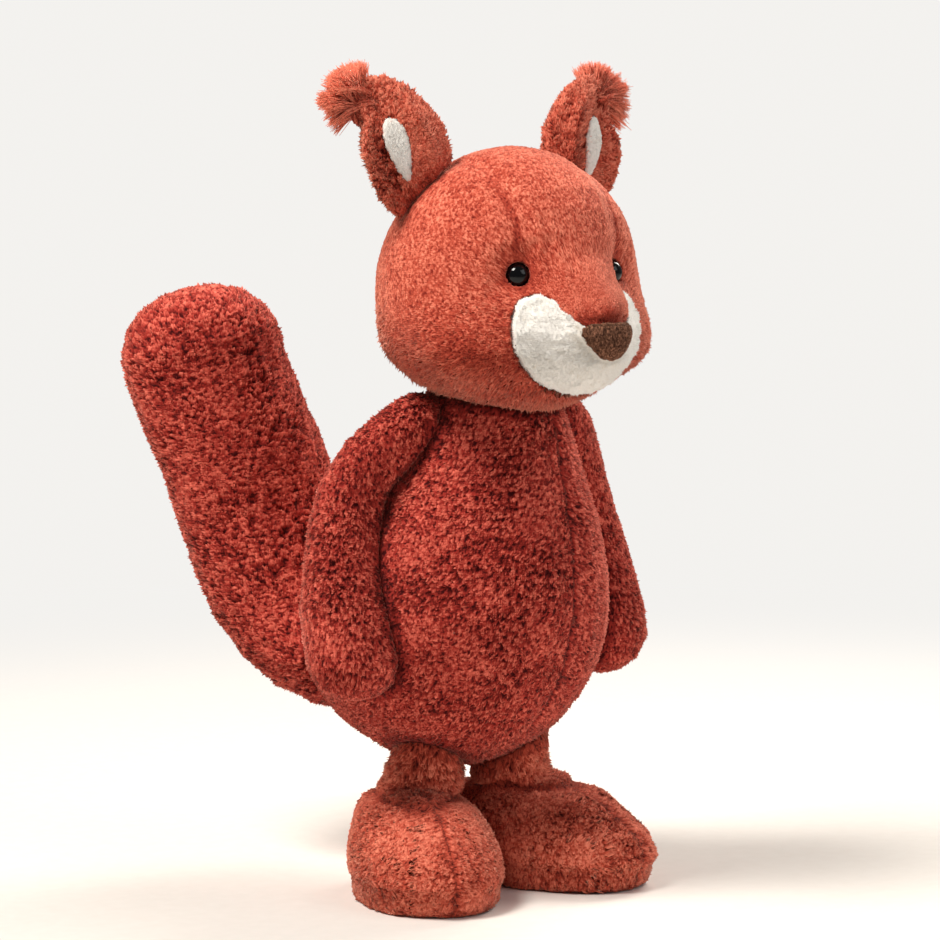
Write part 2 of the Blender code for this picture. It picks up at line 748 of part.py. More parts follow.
def make_tuft(name, side, ear):
    """A fan of tapered locks at the ear's tip, on one root."""
    _, upward, outward, facing = ear_frame(side)
    tip = ear_sheet(side)(0.90, 0.0, 0.0)
    knot = ball_mesh("tuft_root", 9, 6, lambda direction: direction * TUFT_LOCK_RADIUS * 2.4)
    tuft = piece(f"ear_tuft_{name}", knot, "red_plush", tip)
    for index in range(TUFT_LOCKS):
        share = index / (TUFT_LOCKS - 1) * 2.0 - 1.0
        angle = TUFT_DIRECTION + share * TUFT_SPREAD
        way = outward * math.cos(angle) + upward * math.sin(angle) + facing * 0.28 * math.sin(index * 2.4)
        way.normalize()
        length = TUFT_LENGTH * (1.0 - 0.15 * share**2 - 0.10 * (index % 2))
        bend = Vector((0.0, 0.0, -0.12 * length))
        spine = Spine([way * 0.0, way * length * 0.55, way * length + bend], facing)
        radii = (TUFT_LOCK_RADIUS, TUFT_LOCK_RADIUS * 1.2, TUFT_LOCK_RADIUS * 0.8, TUFT_LOCK_RADIUS * 0.3)
        lock = cutter(f"lock_{name}_{index}", limb_mesh("lock_form", spine, radii, LOCK_SIDES, LOCK_RINGS), tip)
        combine(tuft, lock, "UNION")
    combine(tuft, grown(ear, f"tuft_seat_{name}", GAP), "DIFFERENCE")


def stand_on_origin():
    """Moves the whole squirrel so that the middle of its box, at the floor, is the origin."""
    bpy.context.view_layer.update()
    graph = bpy.context.evaluated_depsgraph_get()
    corners = []
    for part in SQUIRREL.objects:
        if part.type == "MESH":
            solid = part.evaluated_get(graph)
            corners += [solid.matrix_world @ Vector(corner) for corner in solid.bound_box]
    low = [min(corner[axis] for corner in corners) for axis in range(3)]
    high = [max(corner[axis] for corner in corners) for axis in range(3)]
    STAND.location = (-(low[0] + high[0]) / 2, -(low[1] + high[1]) / 2, -low[2])


def build():
    head = make_head()
    torso = make_torso()
    around_head = grown(head, "around_head", GAP)
    around_torso = grown(torso, "around_torso", GAP)
    make_nose(head)
    make_muzzle(head)
    combine(torso, around_head, "DIFFERENCE")
    tail = make_tail()
    combine(tail, around_torso, "DIFFERENCE")
    for name, side in SIDES.items():
        make_eye(head, name, side)
        arm = make_arm(name, side)
        combine(arm, around_torso, "DIFFERENCE")
        combine(arm, around_head, "DIFFERENCE")
        leg = make_leg(name, side)
        combine(leg, around_torso, "DIFFERENCE")
        make_pellet_bag(name, side, leg)
        make_sole(name, side)
        ear = make_ear(name, side)
        make_tuft(name, side, ear)
        make_lining(name, side, grown(ear, f"lining_seat_{name}", GAP))
        combine(ear, around_head, "DIFFERENCE")
    stand_on_origin()


build()
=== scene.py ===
"""The looks of a standing plush squirrel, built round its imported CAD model.

Every stuffed member is a skin of even quads that follows its CAD solid. Each quad is poked into a
tuft of pile, which is combed along the nap, gathered into clumps and shortened where it meets its
neighbours. Run it as a script in Blender; the operators can then be called again one by one.
"""

import math
from collections import namedtuple

import bmesh
import bpy
import numpy as np
from bpy.props import FloatProperty, FloatVectorProperty, IntProperty, PointerProperty
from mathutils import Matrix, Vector, noise
from mathutils.bvhtree import BVHTree
from mathutils.kdtree import KDTree


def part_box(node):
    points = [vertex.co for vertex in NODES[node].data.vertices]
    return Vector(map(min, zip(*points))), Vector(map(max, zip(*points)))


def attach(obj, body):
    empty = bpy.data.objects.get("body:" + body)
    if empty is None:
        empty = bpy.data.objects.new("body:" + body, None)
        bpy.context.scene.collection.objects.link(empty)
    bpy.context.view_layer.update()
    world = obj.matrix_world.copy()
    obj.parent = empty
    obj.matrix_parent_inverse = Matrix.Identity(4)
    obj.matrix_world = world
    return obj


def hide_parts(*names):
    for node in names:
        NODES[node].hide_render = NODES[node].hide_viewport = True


bl_info = {
    "name": "Plush squirrel",
    "version": (1, 0, 0),
    "blender": (4, 5, 0),
    "location": "View3D > Sidebar > Plush",
    "description": "Pile, beads and stage of a standing plush squirrel",
    "category": "Add Mesh",
}

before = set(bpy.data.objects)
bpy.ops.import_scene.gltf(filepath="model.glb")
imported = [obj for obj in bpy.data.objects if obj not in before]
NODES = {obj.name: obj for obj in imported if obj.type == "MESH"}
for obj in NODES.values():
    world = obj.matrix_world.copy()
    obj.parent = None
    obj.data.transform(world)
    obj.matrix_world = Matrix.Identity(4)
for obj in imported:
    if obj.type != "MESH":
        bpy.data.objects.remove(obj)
bpy.context.view_layer.update()
MM = 0.001
SIDES = ("left", "right")

# The squirrel faces -Y, and its plane of symmetry is the middle between its legs
AXIS_X = (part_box("leg_left")[0].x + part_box("leg_right")[1].x) / 2
HEAD_LOW, HEAD_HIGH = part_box("head")
HEAD_MIDDLE = (HEAD_LOW + HEAD_HIGH) / 2
NOSE_MIDDLE = (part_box("nose")[0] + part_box("nose")[1]) / 2
EYE_LEVEL = (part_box("eye_left")[0].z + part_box("eye_left")[1].z) / 2
TORSO_MIDDLE = (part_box("torso")[0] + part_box("torso")[1]) / 2

# The legs and the torso stand on one axis, a little ahead of the torso's middle
BODY_Y = TORSO_MIDDLE.y - 5.35 * MM
ANKLE_ASIDE = 23.5 * MM
ANKLE_HEIGHT = 44 * MM
ANKLE_CREASE = 36.5 * MM
MOUND_ABOVE_NOSE = 12.5 * MM
GUSSET_HALF_WIDTH = 22.8 * MM
TORSO_TURN = math.tau / 28
FOOT_TURN_OUT = math.radians(20)


def linear(code):
    """An sRGB hex colour such as "#7d251d" as a linear RGBA tuple."""
    shares = [int(code[i : i + 2], 16) / 255 for i in (1, 3, 5)]
    return tuple(s / 12.92 if s <= 0.04045 else ((s + 0.055) / 1.055) ** 2.4 for s in shares) + (1.0,)


# Settings that a user would change


def length(name, description, default):
    """A length that a user may set, in metres."""
    return FloatProperty(name=name, description=description, default=default, unit="LENGTH")


def power(name, description, default):
    """A lamp's power that a user may set, in watts."""
    return FloatProperty(name=name, description=description, default=default, unit="POWER")


def dye_and_shade(name, description, code):
    """A colour that a user may set, with an sRGB hex value as its default."""
    start = linear(code)[:3]
    return FloatVectorProperty(name=name, description=description, default=start, subtype="COLOR")


class PileSettings(bpy.types.PropertyGroup):
    """How long and how dense the pile of each member is."""

    head_relief: length(
        "Head crevices", "Depth of the crevices between the clumps of the head's pile", 0.3 * MM
    )
    head_tuft: length("Head tufts", "How far the head's tufts stand out of their clumps", 0.28 * MM)
    body_relief: length(
        "Body crevices", "Depth of the crevices in the pile of torso, arms and legs", 1.1 * MM
    )
    body_tuft: length("Body tufts", "How far the tufts of torso, arms and legs stand out", 0.65 * MM)
    tail_relief: length("Tail crevices", "Depth of the crevices in the tail's shaggy pile", 1.5 * MM)
    tail_tuft: length("Tail tufts", "How far the tail's tufts stand out", 0.7 * MM)
    ear_relief: length("Ear crevices", "Depth of the crevices in the ears' loose pile", 1.5 * MM)
    ear_tuft: length("Ear tufts", "How far the tufts of the ears stand out", 0.9 * MM)
    muzzle_relief: length("Muzzle crevices", "Depth of the crevices in the muzzle's pile", 0.5 * MM)
    muzzle_tuft: length("Muzzle tufts", "How far the muzzle's tufts stand out", 0.85 * MM)
    suede_nap: length("Suede nap", "How far the nose's nap stands out", 0.3 * MM)
    tuft_strands: IntProperty(
        name="Tuft strands",
        description="Strands in the long tuft on each ear's tip",
        default=3600,
        min=20,
        max=6000,
    )
    strand_radius: length("Strand radius", "Radius of one gathered strand at its root", 0.2 * MM)


class ColourSettings(bpy.types.PropertyGroup):
    """The colours of the pile and the nose: dyed colours, with painted shade at the roots and lighter
    copies as painted light.
    """

    # The root colours are painted shade deep in the pile; the tip colours are painted paler where the tips
    # catch the light
    plush_root: dye_and_shade("Red plush, root", "Colour deep between the tufts", "#450d10")
    plush_body: dye_and_shade("Red plush, pile", "Colour along the pile", "#a9342c")
    plush_tip: dye_and_shade("Red plush, tip", "Colour at the worn, light-catching tips", "#f97e69")
    # The same red cloth painted lighter for the light that falls on it: painted light, with less painted
    # shade at the root. The root is used on the head, the pile and tip also on ears, tufts, legs and soles
    lit_plush_root: dye_and_shade("Brushed plush, root", "Colour deep in the head's brushed pile", "#81241d")
    brushed_body: dye_and_shade("Brushed plush, pile", "Colour along the head's brushed pile", "#bf4d3a")
    lit_plush_tip: dye_and_shade("Brushed plush, tip", "Colour of the head's brushed tips", "#ff9579")
    cream: dye_and_shade("Cream plush", "Colour of the muzzle and the ear linings", "#fcf9f5")
    suede: dye_and_shade("Brown suede", "Colour of the nose", "#77513f")


class StageSettings(bpy.types.PropertyGroup):
    """Where the camera stands and how strong the lamps are."""

    turn: FloatProperty(
        name="Camera turn",
        description="Turn of the camera round the squirrel from straight in front",
        default=math.radians(-36),
        subtype="ANGLE",
    )
    distance: length("Camera distance", "From the camera to the squirrel's axis, along the floor", 1.4)
    height: length("Camera height", "Height of the camera above the floor", 0.30)
    aim_height: length("Aim height", "Height of the point that the camera looks at", 0.1565)
    aim_aside: length("Aim aside", "How far to the camera's right of the axis it looks", 0.0019)
    lens: FloatProperty(
        name="Lens",
        description="Focal length in millimetres on a 36 mm sensor",
        default=143.7,
        min=20,
    )
    key_power: power("Key lamp", "Power of the soft key lamp", 30.0)
    fill_power: power("Fill lamp", "Power of the soft fill lamp", 3.5)
    rim_power: power("Rim lamp", "Power of the lamp behind the squirrel", 14.0)


# Small helpers


def add_node(tree, kind, sockets=None, **settings):
    """Adds a node, sets its settings, and gives its inputs values or links from other outputs."""
    node = tree.nodes.new(kind)
    for name, value in settings.items():
        setattr(node, name, value)
    for socket, value in (sockets or {}).items():
        if isinstance(value, bpy.types.NodeSocket):
            tree.links.new(value, node.inputs[socket])
        else:
            node.inputs[socket].default_value = value
    return node


def eased(share):
    """0 to 1 with soft ends, for numbers and arrays."""
    share = np.clip(share, 0.0, 1.0)
    return share * share * (3.0 - 2.0 * share)


def unit_rows(rows):
    """Each row scaled to length one."""
    return rows / np.maximum(np.linalg.norm(rows, axis=1, keepdims=True), 1e-12)


def points_of(mesh):
    """A mesh's vertices as an array, one row each."""
    flat = np.empty(len(mesh.vertices) * 3)
    mesh.vertices.foreach_get("co", flat)
    return flat.reshape(-1, 3)


def smooth_noise(points, size):
    """One even noise value from -1 to 1 for each point, with waves of that size."""
    return np.array([noise.noise(Vector(p) / size) for p in points])


def show(name, mesh, material, nodes=()):
    """The mesh as a piece that rides on the squirrel and stands for the CAD nodes named."""
    piece = bpy.data.objects.new(name, mesh)
    bpy.context.scene.collection.objects.link(piece)
    mesh.materials.clear()
    mesh.materials.append(material)
    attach(piece, "root")
    if nodes:
        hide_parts(*nodes)
    return piece


# Materials


def new_material(name):
    """A material with an empty node tree: (material, tree)."""
    material = bpy.data.materials.new(name)
    material.use_nodes = True
    material.node_tree.nodes.clear()
    return material, material.node_tree


def rgba(colour):
    """A colour property as RGBA."""
    return tuple(colour) + (1.0,)


def plush(name, root, pile, tip, sheen, gaps, lock, relief=0.85, drawn_out=(1.0, 1.0, 0.3)):
    """Dyed knitted polyester pile: matt, with painted shade between its locks, paler and softly shining at
    the tips.

    Each is made once and shared. root is the colour of the painted shade deep in the pile. gaps is how dark
    the painted shade in the pits between locks is, lock is a lock's size, relief is how much the height in
    the pile decides its colour as painted shade, and drawn_out scales the fibres' pattern along each axis
    of the nap's places.
    """
    if name in bpy.data.materials:
        return bpy.data.materials[name]
    material, tree = new_material(name)
    place = add_node(tree, "ShaderNodeTexCoord").outputs["Object"]
    nap = add_node(tree, "ShaderNodeAttribute", attribute_name="nap").outputs["Vector"]
    height = add_node(tree, "ShaderNodeAttribute", attribute_name="tip")
    clump = add_node(tree, "ShaderNodeAttribute", attribute_name="tone")
    # Fibres drawn out along the nap, the small pits between locks painted dark as shade, and wide patches
    # of wear
    stretch = {0: nap, 1: drawn_out}
    drawn = add_node(tree, "ShaderNodeVectorMath", stretch, operation="MULTIPLY")
    thin = {"Vector": drawn.outputs[0], "Scale": 1 / (0.5 * lock), "Detail": 3.0, "Roughness": 0.65}
    fibres = add_node(tree, "ShaderNodeTexNoise", thin)
    small = {"Vector": nap, "Scale": 1 / (1.15 * lock), "Detail": 1.0, "Distortion": 0.4}
    pits = add_node(tree, "ShaderNodeTexNoise", small)
    # Round locks, darkened towards the crevices between them in the level below: painted shade
    round_ends = {"Vector": nap, "Scale": 1 / (1.35 * lock), "Smoothness": 0.35}
    knots = add_node(tree, "ShaderNodeTexVoronoi", round_ends, feature="SMOOTH_F1")
    wide = {"Vector": place, "Scale": 1 / (18 * MM), "Detail": 3.0}
    patches = add_node(tree, "ShaderNodeTexNoise", wide)
    full = add_node(
        tree,
        "ShaderNodeMapRange",
        {"Value": pits.outputs["Fac"], "From Min": 0.36, "From Max": 0.5, "To Min": -gaps, "To Max": 0.05},
        interpolation_type="SMOOTHSTEP",
    )
    # All of it weighed into one level, from the painted shade at the roots to the tips
    level = full.outputs["Result"]
    for share, weight in (
        (fibres.outputs["Fac"], 0.8),
        (knots.outputs["Distance"], -1.5 * gaps),
        (patches.outputs["Fac"], 0.45),
        (clump.outputs["Fac"], 0.16),
        (height.outputs["Fac"], relief),
    ):
        terms = {0: share, 1: weight, 2: level}
        level = add_node(tree, "ShaderNodeMath", terms, operation="MULTIPLY_ADD").outputs[0]
    lowest = 0.1 - 0.6 * gaps + 0.45 * relief
    highest = 0.8 - 0.6 * gaps + 0.95 * relief
    spread = add_node(tree, "ShaderNodeMapRange", {"Value": level, "From Min": lowest, "From Max": highest})
    # The ramp's root colour is painted shade deep in the pile; the tips are the palest
    dyed_and_shaded = add_node(tree, "ShaderNodeValToRGB", {"Fac": spread.outputs["Result"]})
    dyed_and_shaded.color_ramp.elements[0].color = root
    dyed_and_shaded.color_ramp.elements[1].color = tip
    dyed_and_shaded.color_ramp.elements.new(0.5).color = pile
    bump = add_node(tree, "ShaderNodeBump", {"Strength": 0.6, "Distance": 0.35 * MM, "Height": level})
    looks = {
        "Base Color": dyed_and_shaded.outputs["Color"],
        "Normal": bump.outputs["Normal"],
        "Roughness": 0.9,
        "Specular IOR Level": 0.1,
        "Sheen Weight": sheen,
        "Sheen Roughness": 0.38,
        "Sheen Tint": rgba(c**0.7 for c in tip[:3]),
    }
    shader = add_node(tree, "ShaderNodeBsdfPrincipled", looks)
    add_node(tree, "ShaderNodeOutputMaterial", {"Surface": shader.outputs["BSDF"]})
    return material


def bead_lacquer():
    """Moulded acrylic safety eye: black, polished, with a sharp highlight."""
    material, tree = new_material("black_acrylic_bead")
    place = add_node(tree, "ShaderNodeTexCoord").outputs["Object"]
    marks = {"Vector": place, "Scale": 1 / (3 * MM), "Detail": 4.0}
    handling = add_node(tree, "ShaderNodeTexNoise", marks)
    dulled = {"Value": handling.outputs["Fac"], "To Min": 0.05, "To Max": 0.12}
    looks = {
        "Base Color": linear("#050507"),
        "Roughness": add_node(tree, "ShaderNodeMapRange", dulled).outputs["Result"],
        "IOR": 1.49,
        "Specular IOR Level": 0.32,
    }
    shader = add_node(tree, "ShaderNodeBsdfPrincipled", looks)
    add_node(tree, "ShaderNodeOutputMaterial", {"Surface": shader.outputs["BSDF"]})
    return material


def nylon():
    """Moulded nylon washer: milky and half matt."""
    material, tree = new_material("moulded_nylon_washer")
    place = add_node(tree, "ShaderNodeTexCoord").outputs["Object"]
    milk = {"Vector": place, "Scale": 1 / (2 * MM), "Detail": 3.0}
    cloud = add_node(tree, "ShaderNodeTexNoise", milk)
    tint = add_node(tree, "ShaderNodeValToRGB", {"Fac": cloud.outputs["Fac"]})
    tint.color_ramp.elements[0].color = linear("#d8d5cc")
    tint.color_ramp.elements[1].color = linear("#ebe8e0")
    looks = {"Base Color": tint.outputs["Color"], "Roughness": 0.5, "IOR": 1.53}
    shader = add_node(tree, "ShaderNodeBsdfPrincipled", looks)
    add_node(tree, "ShaderNodeOutputMaterial", {"Surface": shader.outputs["BSDF"]})
    return material


def pellet_cloth():
    """Woven cotton bag drawn over pellets: a plain weave with the pellets' bumps in it."""
    material, tree = new_material("woven_pellet_bag")
    place = add_node(tree, "ShaderNodeTexCoord").outputs["Object"]
    beads = {"Vector": place, "Scale": 1 / (3 * MM)}
    pellets = add_node(tree, "ShaderNodeTexVoronoi", beads, feature="SMOOTH_F1")
    threads = {"Vector": place, "Scale": 1 / (4 * MM), "Distortion": 1.0}
    weave = add_node(tree, "ShaderNodeTexWave", threads)
    tint = add_node(tree, "ShaderNodeValToRGB", {"Fac": weave.outputs["Fac"]})
    tint.color_ramp.elements[0].color = linear("#b9b3a8")
    tint.color_ramp.elements[1].color = linear("#d3cec3")
    bumps = {"Strength": 0.6, "Distance": 0.8 * MM, "Height": pellets.outputs["Distance"]}
    bump = add_node(tree, "ShaderNodeBump", bumps, invert=True)
    looks = {"Base Color": tint.outputs["Color"], "Normal": bump.outputs["Normal"], "Roughness": 0.9}
    shader = add_node(tree, "ShaderNodeBsdfPrincipled", looks)
    add_node(tree, "ShaderNodeOutputMaterial", {"Surface": shader.outputs["BSDF"]})
    return material


# Pile: an even skin, poked into tufts

# How one member's pile grows: the spacing of its tufts, how deep the crevices between its clumps are,
# how far a tuft stands out of its clump, its lean from upright in radians, the clumps' size,
# grain(points) for the nap's direction and its pattern's places, seams(points), which is 1 on a seam,
# lumps(points), how far the stuffing swells the cloth, and length(points), how long the pile is there,
# which also paints long pile darker as painted shade and short pile paler as a painted highlight
COAT_FIELDS = "spacing relief tuft lean clump grain seams lumps length"
Coat = namedtuple("Coat", COAT_FIELDS, defaults=(None, None, None))

LOCK_STRETCH = 0.6  # how much closer the pattern's places stand along the nap than across it
RELAX_ROUNDS = 14
CONTACT_CLEAR = 0.2 * MM
DARK_REACH = 6.5 * MM
SEAM_SINK = 1.2 * MM
SHORTEST_PILE = 0.5
GATHERING = 0.15
NAP_STRAY = 0.3
NORMAL_SOFTNESS = 0.7
SKIRT_HEIGHT = 9 * MM
SKIRT_DROP = 3.4 * MM
SKIRT_FLARE = 1.6 * MM
FLOOR_CLEAR = 0.2 * MM


def merged_copy(node):
    """A copy of the CAD node's mesh with its loose triangles merged."""
    mesh = NODES[node].data.copy()
    form = bmesh.new()
    form.from_mesh(mesh)
    bmesh.ops.remove_doubles(form, verts=form.verts, dist=0.001 * MM)
    form.to_mesh(mesh)
    form.free()
    return mesh


def even_skin(node, spacing):
    """The node's form as one closed skin of even quads, so that a tuft grows from each."""
    mesh = merged_copy(node)
    carrier = bpy.data.objects.new(f"{node}_form", mesh)
    bpy.context.scene.collection.objects.link(carrier)
    remesh = carrier.modifiers.new("even_skin", "REMESH")
    remesh.mode = "VOXEL"
    remesh.voxel_size = spacing
    depsgraph = bpy.context.evaluated_depsgraph_get()
    skin = bpy.data.meshes.new_from_object(carrier.evaluated_get(depsgraph))
    bpy.data.objects.remove(carrier)
    bpy.data.meshes.remove(mesh)
    skin.name = f"{node}_plush"
    return skin


def relaxed(points, edges, rounds):
    """The points after rounds of smoothing along the edges, pushed back so that nothing shrinks."""
    count = len(points)
    links = np.bincount(edges.ravel(), minlength=count)[:, None]

    def step(rows, amount):
        drift = np.empty_like(rows)
        for axis in range(3):
            drift[:, axis] = np.bincount(edges[:, 0], rows[edges[:, 1], axis], count)
            drift[:, axis] += np.bincount(edges[:, 1], rows[edges[:, 0], axis], count)
        return rows + amount * (drift / links - rows)

    for _ in range(rounds):
        points = step(step(points, 0.55), -0.56)
    return points


def quad_normals(points, quads):
    """(normal of each quad, normal of each vertex) for an outward-facing skin."""
    faces = np.cross(points[quads[:, 2]] - points[quads[:, 0]], points[quads[:, 3]] - points[quads[:, 1]])
    corners = np.zeros_like(points)
    for axis in range(3):
        for corner in range(4):
            corners[:, axis] += np.bincount(quads[:, corner], faces[:, axis], len(points))
    return unit_rows(faces), unit_rows(corners)


def nearest_gap(points, others, reach):
    """How far each point is from the nearest of the CAD nodes named, up to reach."""
    gaps = np.full(len(points), reach)
    for other in others:
        low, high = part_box(other)
        near = np.all((points > np.array(low) - reach) & (points < np.array(high) + reach), axis=1)
        if not near.any():
            continue
        mesh = NODES[other].data
        corners = [v.co for v in mesh.vertices]
        tree = BVHTree.FromPolygons(corners, [tuple(f.vertices) for f in mesh.polygons])
        for index in np.flatnonzero(near):
            gap = tree.find_nearest(Vector(points[index]), reach)[3]
            if gap is not None and gap < gaps[index]:
                gaps[index] = gap
    return gaps


def clump_share(points, hearts):
    """(nearest clump's number, 1 in a clump's middle to 0 in the crevice round it) for each point."""
    tree = KDTree(len(hearts))
    for number, heart in enumerate(hearts):
        tree.insert(heart, number)
    tree.balance()
    numbers = np.empty(len(points), int)
    fullness = np.empty(len(points))
    for index, point in enumerate(points):
        (_, number, close), (_, _, far) = tree.find_n(Vector(point), 2)
        numbers[index] = number
        fullness[index] = (far - close) / (far + close)
    return numbers, fullness


def skirted(placed, spots, normals):
    """The places with the lowest pile of a foot hung down and out over its sole."""
    beside = eased((normals[:, 2] + 0.97) / 0.2)
    low_down = eased((SKIRT_HEIGHT - spots[:, 2]) / (5 * MM)) * beside
    placed[:, 2] -= low_down * SKIRT_DROP
    placed[:, :2] += normals[:, :2] * (low_down * SKIRT_FLARE)[:, None]
    return placed


def with_tufts(values, quads):
    """Values on the skin's vertices, followed by their means for the tuft of each quad."""
    return np.concatenate([values, values[quads].mean(axis=1)])


def finish_skin(skin, placed, tip, tone, nap_places, normals, softness):
    """Pokes the skin into tufts, places them, and stores what its material and its shading need."""
    form = bmesh.new()
    form.from_mesh(skin)
    bmesh.ops.poke(form, faces=form.faces[:])
    form.to_mesh(skin)
    form.free()
    skin.vertices.foreach_set("co", placed.ravel())
    for name, values in (("tip", tip), ("tone", tone)):
        attribute = skin.attributes.new(name, "FLOAT", "POINT")
        attribute.data.foreach_set("value", values.astype(np.float32))
    skin.attributes.new("nap", "FLOAT_VECTOR", "POINT").data.foreach_set("vector", nap_places.ravel())
    skin.update()
    skin.shade_smooth()
    facets = np.empty(len(skin.vertices) * 3)
    skin.vertex_normals.foreach_get("vector", facets)
    soft = unit_rows(facets.reshape(-1, 3) * (1.0 - softness) + normals * softness)
    skin.normals_split_custom_set_from_vertices(soft)


def skin_arrays(skin):
    """(points, edges, quads) of a skin, one row each."""
    edges = np.empty(len(skin.edges) * 2, int)
    skin.edges.foreach_get("vertices", edges)
    quads = np.empty(len(skin.loops), int)
    skin.loops.foreach_get("vertex_index", quads)
    return points_of(skin), edges.reshape(-1, 2), quads.reshape(-1, 4)


def along_skin(rows, normals):
    """The part of each row that lies along the skin."""
    return rows - normals * np.sum(rows * normals, axis=1, keepdims=True)


def pile_growth(points, clear, coat):
    """(how long the pile grows, 1 on a seam) for each point: short where members meet and on seams."""
    reach = eased((clear - CONTACT_CLEAR) / (coat.relief + coat.tuft * 0.5))
    seam = coat.seams(points) if coat.seams else np.zeros(len(points))
    growth = reach * (1.0 - 0.6 * seam) * (1.0 + 0.15 * smooth_noise(points, coat.clump * 4.0))
    if coat.length:
        growth = growth * np.maximum(coat.length(points), SHORTEST_PILE)
    return growth, seam


def gather_locks(points, quads, spots, places, coat, chance):
    """(each spot's way from its lock's heart, how full its lock is there, its lock's shade)."""
    spans = np.cross(points[quads[:, 2]] - points[quads[:, 0]], points[quads[:, 3]] - points[quads[:, 1]])
    area = np.linalg.norm(spans, axis=1).sum() / 2
    clumps = max(8, int(area / coat.clump**2 * LOCK_STRETCH))
    chosen = chance.choice(len(points), clumps, replace=False)
    shades = chance.uniform(0.0, 1.0, clumps)
    warp = np.stack([smooth_noise(spots + shift, coat.clump * 1.2) for shift in (0.0, 1.7, 3.1)], axis=1)
    numbers, fullness = clump_share(places + warp * coat.clump * 0.5, places[chosen])
    return spots - points[chosen][numbers], fullness, shades[numbers]


def pile_relief(spots, is_tuft, along, fullness, coat, chance):
    """How far each spot stands out: broken crevices, locks that rise to their ends, and tufts."""
    ragged = eased(0.55 + 1.1 * smooth_noise(spots, 20 * MM))
    broken = eased(0.6 + 1.2 * smooth_noise(spots + 7.0, coat.clump * 1.6))
    crevice = (1.0 - eased(fullness * 3.2)) * broken * (0.25 + 0.75 * ragged)
    rising = np.clip(along / coat.clump, -1.0, 1.0)
    fill = 0.2 * rising * (0.4 + 0.6 * ragged) - crevice
    stands = np.where(is_tuft, chance.uniform(0.2, 1.0, len(spots)), -0.4)
    return coat.relief * (fill - fill.mean()) + coat.tuft * stands * (0.55 + 0.45 * ragged)


def grow_pile(node, coat, seed, others, skirt=False, softness=NORMAL_SOFTNESS):
    """The node's plush mesh, with "tip", "tone" and "nap" attributes for its material."""
    chance = np.random.default_rng(seed)
    skin = even_skin(node, coat.spacing)
    points, edges, quads = skin_arrays(skin)
    points = relaxed(points, edges, RELAX_ROUNDS)
    tuft_up, upright = quad_normals(points, quads)
    swell = coat.lumps(points) if coat.lumps else stuffing_lumps(points)
    clear = nearest_gap(points, others, DARK_REACH)
    points = points + upright * (swell * eased((clear - 1.0 * MM) / (2 * MM)))[:, None]
    growth, seam = (with_tufts(values, quads) for values in pile_growth(points, clear, coat))

    # Every vertex, then the tuft in the middle of every quad
    spots = np.vstack([points, points[quads].mean(axis=1)])
    normals = np.vstack([upright, tuft_up])
    is_tuft = np.arange(len(spots)) >= len(points)
    nap, nap_places = coat.grain(spots)
    from_heart, fullness, shades = gather_locks(points, quads, spots, nap_places, coat, chance)
    nap = unit_rows(along_skin(nap, normals))
    nap = unit_rows(nap + chance.normal(0.0, NAP_STRAY, nap.shape))
    relief = pile_relief(spots, is_tuft, np.sum(from_heart * nap, axis=1), fullness, coat, chance)
    low, top = np.percentile(relief, (2, 97))
    height = relief * growth - seam * SEAM_SINK

    # Each tuft leans along the nap, strays a little and is gathered toward its lock's middle
    rise = (height + coat.relief * 0.5 * growth) * math.tan(coat.lean)
    gathered = -GATHERING * is_tuft[:, None] * along_skin(from_heart, normals)
    stray = chance.normal(0.0, coat.spacing * 0.13, spots.shape)
    gathered = (gathered + stray) * np.minimum(1.0, growth)[:, None]
    placed = spots + normals * height[:, None] + nap * rise[:, None] + gathered
    if skirt:
        placed = skirted(placed, spots, normals)
    placed[:, 2] = np.maximum(placed[:, 2], FLOOR_CLEAR)

    # Paler toward the tips; painted shadow where members meet; painted shade where the pile is long, and a
    # painted highlight where it is shortest, on the head's bridge
    shadow = 0.1 + 0.9 * eased(clear / DARK_REACH)
    tip = np.clip((height - low) / (top - low), 0.0, 1.0) * with_tufts(shadow, quads)
    if coat.length:
        tip *= np.clip(1.25 - 0.27 * coat.length(spots), 0.42, 1.5)
    finish_skin(skin, placed, tip, shades, nap_places, normals, softness)
    return skin


def stuffing_lumps(points):
    """The soft dents and swellings that loose stuffing leaves."""
    return 0.55 * MM * smooth_noise(points, 15 * MM) + 0.2 * MM * smooth_noise(points, 6 * MM)


def face_share(points):
    """1 on the front of the head, 0 behind the face."""
    return eased((HEAD_MIDDLE.y - 8 * MM - points[:, 1]) / (10 * MM))


def nose_mound(points):
    """1 on the small round mound above the nose, 0 beyond it."""
    above = points[:, 2] - NOSE_MIDDLE.z - MOUND_ABOVE_NOSE
    return eased(1.0 - np.hypot(points[:, 0] - AXIS_X, above) / (11 * MM)) * face_share(points)


def head_lumps(points):
    """The head is firm and even, with a round mound above the nose and full sides to the bridge."""
    from_axis = np.abs(points[:, 0] - AXIS_X)
    above_nose = points[:, 2] - NOSE_MIDDLE.z
    beside = line_share(from_axis - 12 * MM, 8 * MM) * line_share(above_nose - 14 * MM, 14 * MM)
    bridged = 0.55 * MM * line_share(from_axis - GUSSET_HALF_WIDTH, 4 * MM)
    bridged *= eased((points[:, 2] - EYE_LEVEL - 2 * MM) / (8 * MM))
    snout = 2.9 * MM * nose_mound(points) + 1.6 * MM * beside * face_share(points)
    return bridged + 0.5 * MM * smooth_noise(points, 16 * MM) + snout


